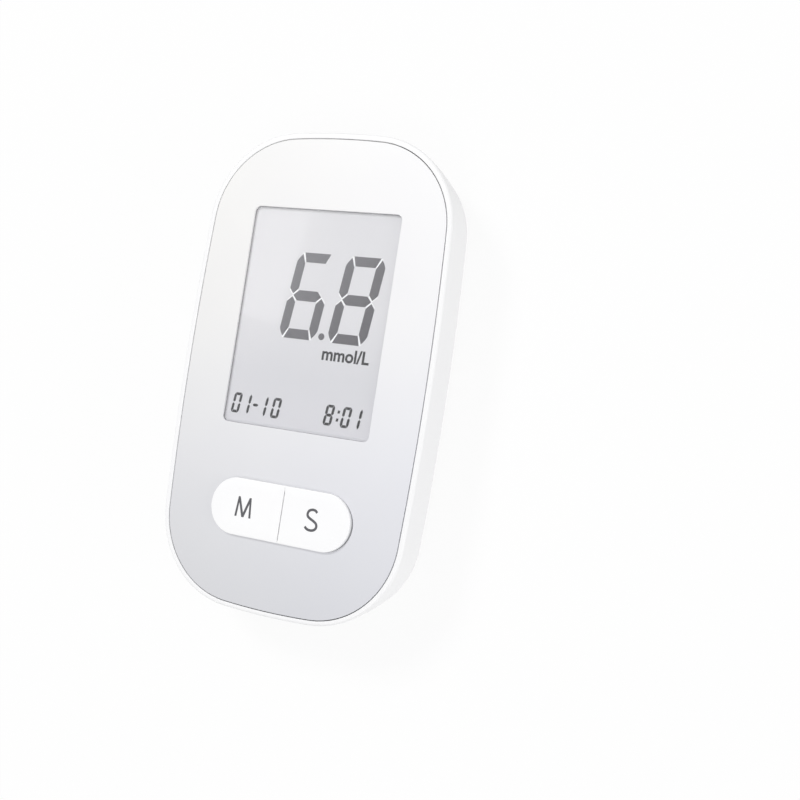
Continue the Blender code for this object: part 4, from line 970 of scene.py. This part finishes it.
def make_unit_mark():
    """The unit under the big figures, set as text and laid on the display."""
    low, high = MARK_HEIGHTS
    text = bpy.data.curves.new("lcd_unit", "FONT")
    text.body = "mmol/L"
    text.size = UNIT_SIZE * MM
    text.offset = UNIT_BOLD * MM
    text.extrude = (high - low) / 2 * MM
    holder = link("unit_text", text)
    bpy.context.view_layer.update()
    shown = holder.evaluated_get(bpy.context.evaluated_depsgraph_get())
    mesh = bpy.data.meshes.new_from_object(shown)
    bpy.data.objects.remove(holder, do_unlink=True)
    spots = np.zeros(len(mesh.vertices) * 3)
    mesh.vertices.foreach_get("co", spots)
    spots = spots.reshape(-1, 3)
    left, right = spots[:, 0].min(), spots[:, 0].max()
    spots[:, 0] = (spots[:, 0] - left) * (UNIT_SPAN[1] - UNIT_SPAN[0]) * MM / (right - left)
    spots += np.array([UNIT_SPAN[0], UNIT_FOOT, (low + high) / 2]) * MM
    mesh.vertices.foreach_set("co", spots.ravel())
    dress(link("lcd_unit_mark", mesh), SMALL_MARKS, "display_grey")


def make_key_marks():
    """Printed letters on the two keys, one for memory and one for set."""
    for name, outline in (("memory_key", letter_m(*LETTER_M)),
                          ("set_key", ribbon(LETTER_S, LETTER_S_WIDTH))):
        dress(slab(name + "_letter", [outline], LETTER_HEIGHTS), KEY_PRINT, "white_key", body=name)


# Rear half of the case and the battery door

def pill(name, half_length, radius, heights):
    """Upright pill about the cell pocket's centre."""
    return ring_solid(name, rounded_rings((radius, half_length), radius, (0, POCKET_Y), heights,
                                          0.0, 24))


def make_case_back():
    """Ring solid from the cavity floor up, over the lip, down the step and round the back."""
    rings = np.concatenate([
        body_rings(wall_heights(COVER_FLOOR, LIP_TOP), WALL),
        body_rings([LIP_TOP, COVER_TOP], LIP),
        body_rings([COVER_TOP], EDGE_BREAK),
        body_rings(wall_heights(0.0, COVER_TOP - EDGE_BREAK)[::-1])])
    case = ring_solid("case_back", rings)
    guide = block("door_guide", (-GUIDE_HALF, -HALF_LENGTH - PAST, GUIDE_HEIGHTS[0]),
                  (GUIDE_HALF, GUIDE_TOP_Y, GUIDE_HEIGHTS[1]))
    limit = body_rings(wall_heights(*GUIDE_LIMIT), GUIDE_WALL)
    combine("INTERSECT", guide, ring_solid("guide_limit", limit))
    join(case, guide, pill("battery_box", *BOX), *rods(CASE_SCREWS, *COVER_POST))
    cut(case, door_way(), pill("coin_pocket", *POCKET))
    for number in (1, 2):
        for kind in ("negative", "positive"):
            low, high = cad_box(f"{kind}_contact_{number}")
            if kind == "negative":
                low[1] = high[1] - CONTACT_LEAF
            cut(case, block("contact_slot", (low[0] - FIT, low[1] - FIT, CONTACT_SLOT[0]),
                            (high[0] + FIT, high[1] + FIT, CONTACT_SLOT[1])))
    wide = HEAD_RECESS + EDGE_BREAK
    recess = [(HEAD_RECESS, HEAD_RECESS_TOP), (HEAD_RECESS, EDGE_BREAK), (wide, 0.0), (wide, -PAST)]
    for place in CASE_SCREWS:
        cut(case, turned("head_recess", recess, place), *rods([place], *COVER_HOLE))
    return polish(case)


def door_reach(room, top):
    """Block as wide as the door with its two rails, wider all round by some room."""
    start = -HALF_LENGTH - PAST
    end = DOOR_TOP_Y + room
    reach = block("reach", (-DOOR_HALF - room, start, -PAST), (DOOR_HALF + room, end, top))
    for side in (-1, 1):
        inner, outer = sorted((side * RAIL_IN, side * (RAIL_OUT + room)))
        join(reach, block("rail", (inner, start, RAIL_LOW - room), (outer, end, DOOR_INNER + room)))
    return reach


def door_way():
    """Space that the door takes, down to its seat, with the grooves for its rails."""
    seat = body_rings(wall_heights(DOOR_SEAT, LIP_TOP + 2 * PAST), DOOR_WALL + FIT)
    return cut(door_reach(FIT, LIP_TOP + PAST), ring_solid("seat", seat))


def make_door():
    """The body's own back between the door's edges, hollowed, with rails and a ribbed grip."""
    door = ring_solid("battery_door_cover", body_rings(wall_heights(DOOR_LOW, COVER_TOP)))
    combine("INTERSECT", door, door_reach(0, COVER_TOP + PAST))
    inside = body_rings(wall_heights(DOOR_INNER, COVER_TOP + PAST), DOOR_WALL)
    cut(door, ring_solid("inside", inside))
    turn = np.linspace(np.pi, 2 * np.pi, 13)
    for i in range(GRIP_COUNT):
        y = GRIP_Y + (i - GRIP_COUNT // 2) * GRIP_STEP
        section = np.stack([y + GRIP_RADIUS * np.cos(turn),
                            DOOR_LOW - GRIP_SINK - GRIP_RADIUS * np.sin(turn)], 1)
        cut(door, bar_across("grip", section, GRIP_HALF))
    return polish(door)


# Screws and coin cells

def crossed(place, reach, half, low, high):
    """Two bars that cross at right angles between two heights."""
    bars = [block("bar", (place[0] - x, place[1] - y, low), (place[0] + x, place[1] + y, high))
            for x, y in ((reach, half), (half, reach))]
    return join(*bars)


def make_screw(number, place):
    """Pan head with a domed edge and a cross recess, over a thread that is a twisted ridge.

    The thread's radius is r - depth * |saw(z / pitch - t / 2 pi)|^1.5, with t the angle round it.
    """
    sides = 40
    seat, face, tip = 2.1, 0.9, 9.1
    flat, dome = 1.45, 0.55
    core, thread_depth, pitch, thread_step, run_in = 1.0, 0.28, 0.8, 0.07, 0.6
    angle = np.linspace(0, 2 * np.pi, sides, endpoint=False)
    head_r = np.concatenate([[flat], flat + dome * RISE, [flat + dome]])
    head_z = np.concatenate([[face], face + dome * DRAW, [seat]])
    neck_z = np.arange(seat, tip - 0.7, thread_step)
    share = neck_z[:, None] / pitch - angle[None, :] / (2 * np.pi)
    saw = np.abs((share % 1) - 0.5) * 2
    fade = np.clip((neck_z - seat) / run_in, 0, 1)[:, None]
    neck_r = core - thread_depth * saw ** 1.5 * fade
    point_r = np.array([0.7, 0.4, 0.12])
    point_z = np.array([tip - 0.6, tip - 0.25, tip])
    radii = np.concatenate([np.repeat(head_r[:, None], sides, 1), neck_r,
                            np.repeat(point_r[:, None], sides, 1)])
    heights = np.concatenate([head_z, neck_z, point_z])
    rings = np.stack([place[0] + radii * np.cos(angle), place[1] + radii * np.sin(angle),
                      np.repeat(heights[:, None], sides, 1)], 2)
    screw = ring_solid(f"case_screw_{number}_fine", rings)
    cut(screw, crossed(place, 1.2, 0.3, 0.0, 1.5))
    return polish(screw)


def make_coin_cell(number, place):
    """Can with a rolled edge, a groove for its gasket, a stepped cap and a raised plus sign."""
    low = DOOR_SEAT
    shoulder = COIN_TOP - 0.4
    turn = np.linspace(0, np.pi / 2, 7)
    rise = np.sin(turn)
    draw = 1 - np.cos(turn)
    edge = 0.3
    crimp = 0.35
    profile = np.concatenate([
        [(0.02, low + 0.06), (6.5, low + 0.06), (6.7, low), (COIN_RADIUS - edge, low)],
        np.stack([COIN_RADIUS - edge + edge * rise, low + edge * draw], 1),
        np.stack([COIN_RADIUS - crimp * draw, shoulder - crimp * (1 - rise)], 1),
        [(8.75, shoulder), (8.7, shoulder - 0.25), (8.45, shoulder - 0.25), (8.4, shoulder),
         (8.4, COIN_TOP - 0.2), (8.25, COIN_TOP), (0.02, COIN_TOP)]])
    cell = turned(f"coin_cell_{number}_fine", profile, place, COIN_SIDES)
    join(cell, crossed((place[0], place[1] + PLUS_Y), 1.6, 0.3, low, low + 0.2))
    return polish(cell)


# Finishes of the inside: packages by their tone, the width of their leads in X and Y, and nodes

PACKAGES = ((rgba(0.025), (0.68, 0), ("memory_switch", "set_switch")),
            (rgba(0.018), (0.5, 0.5), ("controller_chip",)),
            (rgba(0.018), (0.5, 0), ("amplifier_chip", "memory_chip")),
            (rgba(0.30, 0.20, 0.11), (0.5, 0), ("supply_capacitor",)),
            (rgba(0.30, 0.20, 0.11), (0.4, 0), ("filter_capacitor_1", "filter_capacitor_2")))


def make_board_finish():
    """Green solder mask over copper tracks, with pale pads and tinned rings in a loose grid."""
    finish, shader, wires = new_material("board_mask")
    where = wires.place()[0]
    brick = wires.add("TexBrick", {"Vector": where, "Color1": rgba(0.0), "Color2": rgba(0.35),
                                   "Mortar": rgba(1.0), "Scale": 210.0, "Mortar Size": 0.035,
                                   "Brick Width": 0.9, "Row Height": 0.32})
    track = wires.math("GREATER_THAN", brick.outputs["Color"], 0.5)
    spots = wires.add("TexVoronoi", {"Vector": where, "Scale": 260.0}, feature="F1")
    pad = wires.math("LESS_THAN", spots.outputs["Distance"], 0.13)
    hole = wires.math("LESS_THAN", spots.outputs["Distance"], 0.05)
    tone = wires.mix(track, rgba(0.012, 0.12, 0.05), rgba(0.018, 0.16, 0.07))
    tone = wires.mix(hole, wires.mix(pad, tone, rgba(0.75, 0.72, 0.62)), rgba(0.02))
    wires.fill(shader, Base_Color=tone, Metallic=wires.math("SUBTRACT", pad, hole, clamp=True),
               Roughness=wires.spread(wires.noise(where, 900.0), 0.3, 0.7, 0.25, 0.4),
               Normal=wires.bump(wires.math("ADD", track, pad), 0.5, 2e-5))
    return finish


def make_package_finish(node, tone, inset):
    """Package with tinned leads or caps: metal outside the body's block, by its own corners."""
    finish, shader, wires = new_material(node + "_body")
    low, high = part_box(node)
    where, x, y = wires.place()[:3]
    leads = []
    for off, middle, half, depth in zip((x, y), (low + high) / 2, (high - low) / 2, inset):
        if depth:
            off = wires.math("ABSOLUTE", wires.math("SUBTRACT", off, middle))
            leads.append(wires.math("GREATER_THAN", off, half - depth * MM))
    lead = wires.math("MAXIMUM", *leads) if len(leads) > 1 else leads[0]
    grain = wires.noise(where, 4500.0, 2.0)
    body = wires.mix(grain, tone, rgba(*(c * 1.35 for c in tone[:3])))
    rough = wires.math("SUBTRACT", wires.spread(grain, 0.3, 0.7, 0.48, 0.62),
                       wires.math("MULTIPLY", lead, 0.28))
    wires.fill(shader, Base_Color=wires.mix(lead, body, rgba(0.70, 0.70, 0.69)), Metallic=lead,
               Roughness=rough, Normal=wires.bump(grain, 0.5, 4e-6))
    return finish


def make_stripe_rubber():
    """Connector rubber: thin dark conducting layers between pale ones, across its length."""
    finish, shader, wires = new_material("layered_rubber")
    where = wires.place()[0]
    wave = wires.add("TexWave", {"Vector": where, "Scale": 1600.0, "Distortion": 0.3},
                     bands_direction="X")
    layer = wires.spread(wave.outputs["Fac"], 0.35, 0.65)
    wires.fill(shader, Base_Color=wires.mix(layer, rgba(0.03), rgba(0.32, 0.31, 0.30)),
               Roughness=wires.spread(wires.noise(where, 2500.0), 0.3, 0.7, 0.55, 0.75),
               Normal=wires.bump(layer, 0.4, 5e-6))
    return finish


def make_cell_finish(name, place):
    """Nickel-plated can, turned rings about its centre and a dark gasket line near the cap."""
    finish, shader, wires = new_material(name)
    where, x, y, z = wires.place()
    squares = [wires.math("POWER", wires.math("SUBTRACT", along, middle * MM), 2.0)
               for along, middle in zip((x, y), place)]
    radius = wires.math("SQRT", wires.math("ADD", *squares))
    rings = wires.add("TexNoise", {"W": wires.math("MULTIPLY", radius, 9000.0), "Scale": 1.0,
                                   "Detail": 2.0}, noise_dimensions="1D").outputs[0]
    groove = wires.math("COMPARE", radius, 8.57 * MM, 0.2 * MM)
    groove = wires.math("MULTIPLY", groove, wires.math("GREATER_THAN", z, (COIN_TOP - 1) * MM))
    stain = wires.spread(wires.noise(where, 250.0, 3.0), 0.35, 0.7)
    tone = wires.mix(stain, rgba(0.74, 0.73, 0.71), rgba(0.66, 0.65, 0.63))
    wires.fill(shader, Base_Color=wires.mix(groove, tone, rgba(0.05, 0.05, 0.05)),
               Metallic=wires.math("SUBTRACT", 1.0, groove),
               Roughness=wires.spread(rings, 0.3, 0.7, 0.18, 0.32),
               Normal=wires.bump(rings, 0.35, 2e-6))
    return finish


def make_cell_glass():
    """Clear glass of the display cell, with a faint cloud in its tint and polish."""
    finish, shader, wires = new_material("cell_glass")
    cloud = wires.noise(wires.place()[0], 500.0, 2.0)
    wires.fill(shader, Base_Color=wires.mix(cloud, rgba(0.90, 0.94, 0.93), rgba(0.88, 0.93, 0.92)),
               Roughness=wires.spread(cloud, 0.3, 0.8, 0.01, 0.04), Transmission_Weight=1.0,
               IOR=1.52)
    return finish


def dress_inside():
    """Finishes for the CAD nodes that stay as they are."""
    drawn = (4000.0, 300.0, 4000.0)
    pairs = [
        (make_board_finish(), ["main_board"]),
        (moulded("frame_white", rgba(0.80, 0.80, 0.78), rgba(0.77, 0.77, 0.75), 0.5),
         ["lcd_frame"]),
        (moulded("plunger_white", rgba(0.82, 0.81, 0.78), rgba(0.79, 0.78, 0.75), 0.4),
         ["memory_switch_plunger", "set_switch_plunger"]),
        (moulded("connector_beige", rgba(0.66, 0.59, 0.44), rgba(0.62, 0.55, 0.41), 0.45),
         ["strip_connector"]),
        (moulded("switch_black", rgba(0.022), rgba(0.03), 0.5, depth=4e-6), ["buzzer"]),
        (metal("contact_gold", rgba(0.83, 0.62, 0.28), rgba(0.76, 0.55, 0.24), drawn),
         [f"strip_contact_{i}" for i in (1, 2, 3, 4)]),
        (metal("contact_nickel", rgba(0.72, 0.71, 0.68), rgba(0.64, 0.63, 0.60), drawn),
         [f"{kind}_contact_{i}" for kind in ("negative", "positive") for i in (1, 2)]),
        (metal("crystal_can", rgba(0.72, 0.72, 0.73), rgba(0.66, 0.66, 0.67),
               (5000.0, 200.0, 5000.0)), ["watch_crystal"]),
        (metal("board_screw_steel", rgba(0.42, 0.42, 0.43), rgba(0.34, 0.34, 0.35),
               (900.0, 900.0, 900.0), 0.32), ["board_screw_1", "board_screw_2"]),
        (metal("reflector_foil", rgba(0.80, 0.80, 0.81), rgba(0.77, 0.77, 0.78),
               (3000.0, 3000.0, 3000.0), 0.42, 0.1), ["lcd_reflector"]),
        (make_cell_glass(), ["lcd_upper_glass", "lcd_lower_glass"]),
        (make_stripe_rubber(), ["lcd_connector_strip"])]
    for tone, inset, names in PACKAGES:
        pairs += [(make_package_finish(name, tone, inset), [name]) for name in names]
    for finish, names in pairs:
        for name in names:
            for place in NODES[name].material_slots:
                place.material = finish


# Studio: lamps by name, place and side in metres, power, and roll in degrees

CAMERA_PLACE = (111.283, -9.670, 210.655)
CAMERA_RIGHT = (0.9003, 0.1513, -0.4081)
CAMERA_DOWN = (0.124, -0.9879, -0.0928)
CAMERA_AHEAD = (-0.4172, 0.0329, -0.9082)
CAMERA_LENS = 52.529
FLOOR_HALF = 2.5
FLOOR_LOW = -0.00003
FLOOR_GLOW = 0.88
WORLD_LIGHT = 0.66
LAMPS = (("key_lamp", (-0.62, 0.78, 1.25), 0.42, 8.3, 0.0),
         ("foot_lamp", (0.25, -0.75, 1.25), 0.60, 2.4, 0.0),
         ("side_lamp", (1.1, -0.25, 0.12), 0.80, 3.8, 0.0),
         ("gloss_card", (-0.80, 0.33, 1.0), 0.40, 0.24, 11.0))


def turn_and_place(item, *axes_and_place):
    """Turn an object to its right, up and away axes and put it at its place, in metres."""
    turn = np.eye(4)
    turn[:3] = np.stack(axes_and_place, 1)
    item.matrix_world = Matrix(turn.tolist())


def make_camera():
    """The photograph's viewpoint: a camera turned to its three measured axes."""
    camera = bpy.data.cameras.new("camera")
    camera.lens = CAMERA_LENS
    camera.sensor_width = 36.0
    camera.clip_start = 0.005
    camera.clip_end = 20.0
    item = link("camera", camera)
    turn_and_place(item, np.array(CAMERA_RIGHT), -np.array(CAMERA_DOWN), -np.array(CAMERA_AHEAD),
                   np.array(CAMERA_PLACE) * MM)
    bpy.context.scene.camera = item


def empty_tree(owner):
    """Wiring for the emptied node tree of a material or a world."""
    owner.use_nodes = True
    owner.node_tree.nodes.clear()
    return Wiring(owner.node_tree)


def make_floor():
    """Pale floor: it takes the object's shadow, shows white, and is open from below."""
    finish = bpy.data.materials.new("pale_floor")
    wires = empty_tree(finish)
    front = wires.math("SUBTRACT", 1.0, wires.add("NewGeometry").outputs["Backfacing"])
    seen = wires.math("MULTIPLY", wires.rays("Camera", "Glossy", "Transmission"), front)
    paint = wires.add("BsdfDiffuse", {"Color": rgba(0.9)})
    glow = wires.add("Emission", {"Color": rgba(1.0), "Strength": 1.0})
    look = wires.add("MixShader", {0: FLOOR_GLOW, 1: paint.outputs[0], 2: glow.outputs[0]})
    wires.show(wires.add("OutputMaterial"), seen, wires.add("BsdfTransparent"), look)
    mesh = bpy.data.meshes.new("floor")
    mesh.from_pydata([(x * FLOOR_HALF, y * FLOOR_HALF, FLOOR_LOW)
                      for x, y in ((-1, -1), (1, -1), (1, 1), (-1, 1))], [], [(0, 1, 2, 3)])
    mesh.materials.append(finish)
    link("floor", mesh)


def make_lights():
    """Even pale surround, a broad lamp from the upper left, two weaker ones and a gloss card."""
    world = bpy.data.worlds.new("studio")
    bpy.context.scene.world = world
    wires = empty_tree(world)
    light, white = (wires.add("Background", {"Color": rgba(1.0), "Strength": strength})
                    for strength in (WORLD_LIGHT, 1.0))
    wires.show(wires.add("OutputWorld"), wires.rays("Camera", "Transmission"), light, white)
    for name, place, side, power, roll in LAMPS:
        make_lamp(name, np.array(place), side, power, np.radians(roll))


def make_lamp(name, place, side, power, roll):
    """Square lamp that faces the meter: its axes are right and up, rolled, and away from it."""
    lamp = bpy.data.lights.new(name, "AREA")
    lamp.shape = "SQUARE"
    lamp.size = side
    lamp.energy = power
    item = link(name, lamp)
    away = place / np.linalg.norm(place)
    right = np.cross((0, 0, 1.0), away)
    right = right / np.linalg.norm(right)
    up = np.cross(away, right)
    turn_and_place(item, right * np.cos(roll) + up * np.sin(roll),
                   up * np.cos(roll) - right * np.sin(roll), away, place)
    item.visible_camera = False


# The meter

def build():
    """Dress the new pieces, then the CAD nodes that stay."""
    dress(make_case_front(), WHITE_CASE, "white_shell", "front_shell")
    dress(make_face_panel(), PANEL_FINISH, "grey_panel", "front_panel")
    for key, side in (("memory_key", -1), ("set_key", 1)):
        dress(make_key(key + "_cap", side), WHITE_KEY, "white_key", key, body=key)
    dress(make_case_back(), WHITE_CASE, "white_shell", "rear_cover")
    dress(make_door(), WHITE_CASE, "white_shell", "battery_door", body="battery_door")
    steel = metal("screw_steel", rgba(0.45, 0.45, 0.46), rgba(0.38, 0.38, 0.39),
                  (900.0, 900.0, 900.0), 0.30)
    for number, place in enumerate(CASE_SCREWS, 1):
        dress(make_screw(number, place), steel, "screw_steel", f"case_screw_{number}")
    for number, place in enumerate(COIN_PLACES, 1):
        dress(make_coin_cell(number, place), make_cell_finish(f"coin_cell_steel_{number}", place),
              "cell_steel", f"coin_cell_{number}")
    make_window_plate()
    make_display_face()
    make_display_marks()
    make_unit_mark()
    make_key_marks()
    dress_inside()


make_camera()
make_floor()
make_lights()
build()
bpy.context.scene.view_settings.view_transform = "Standard"
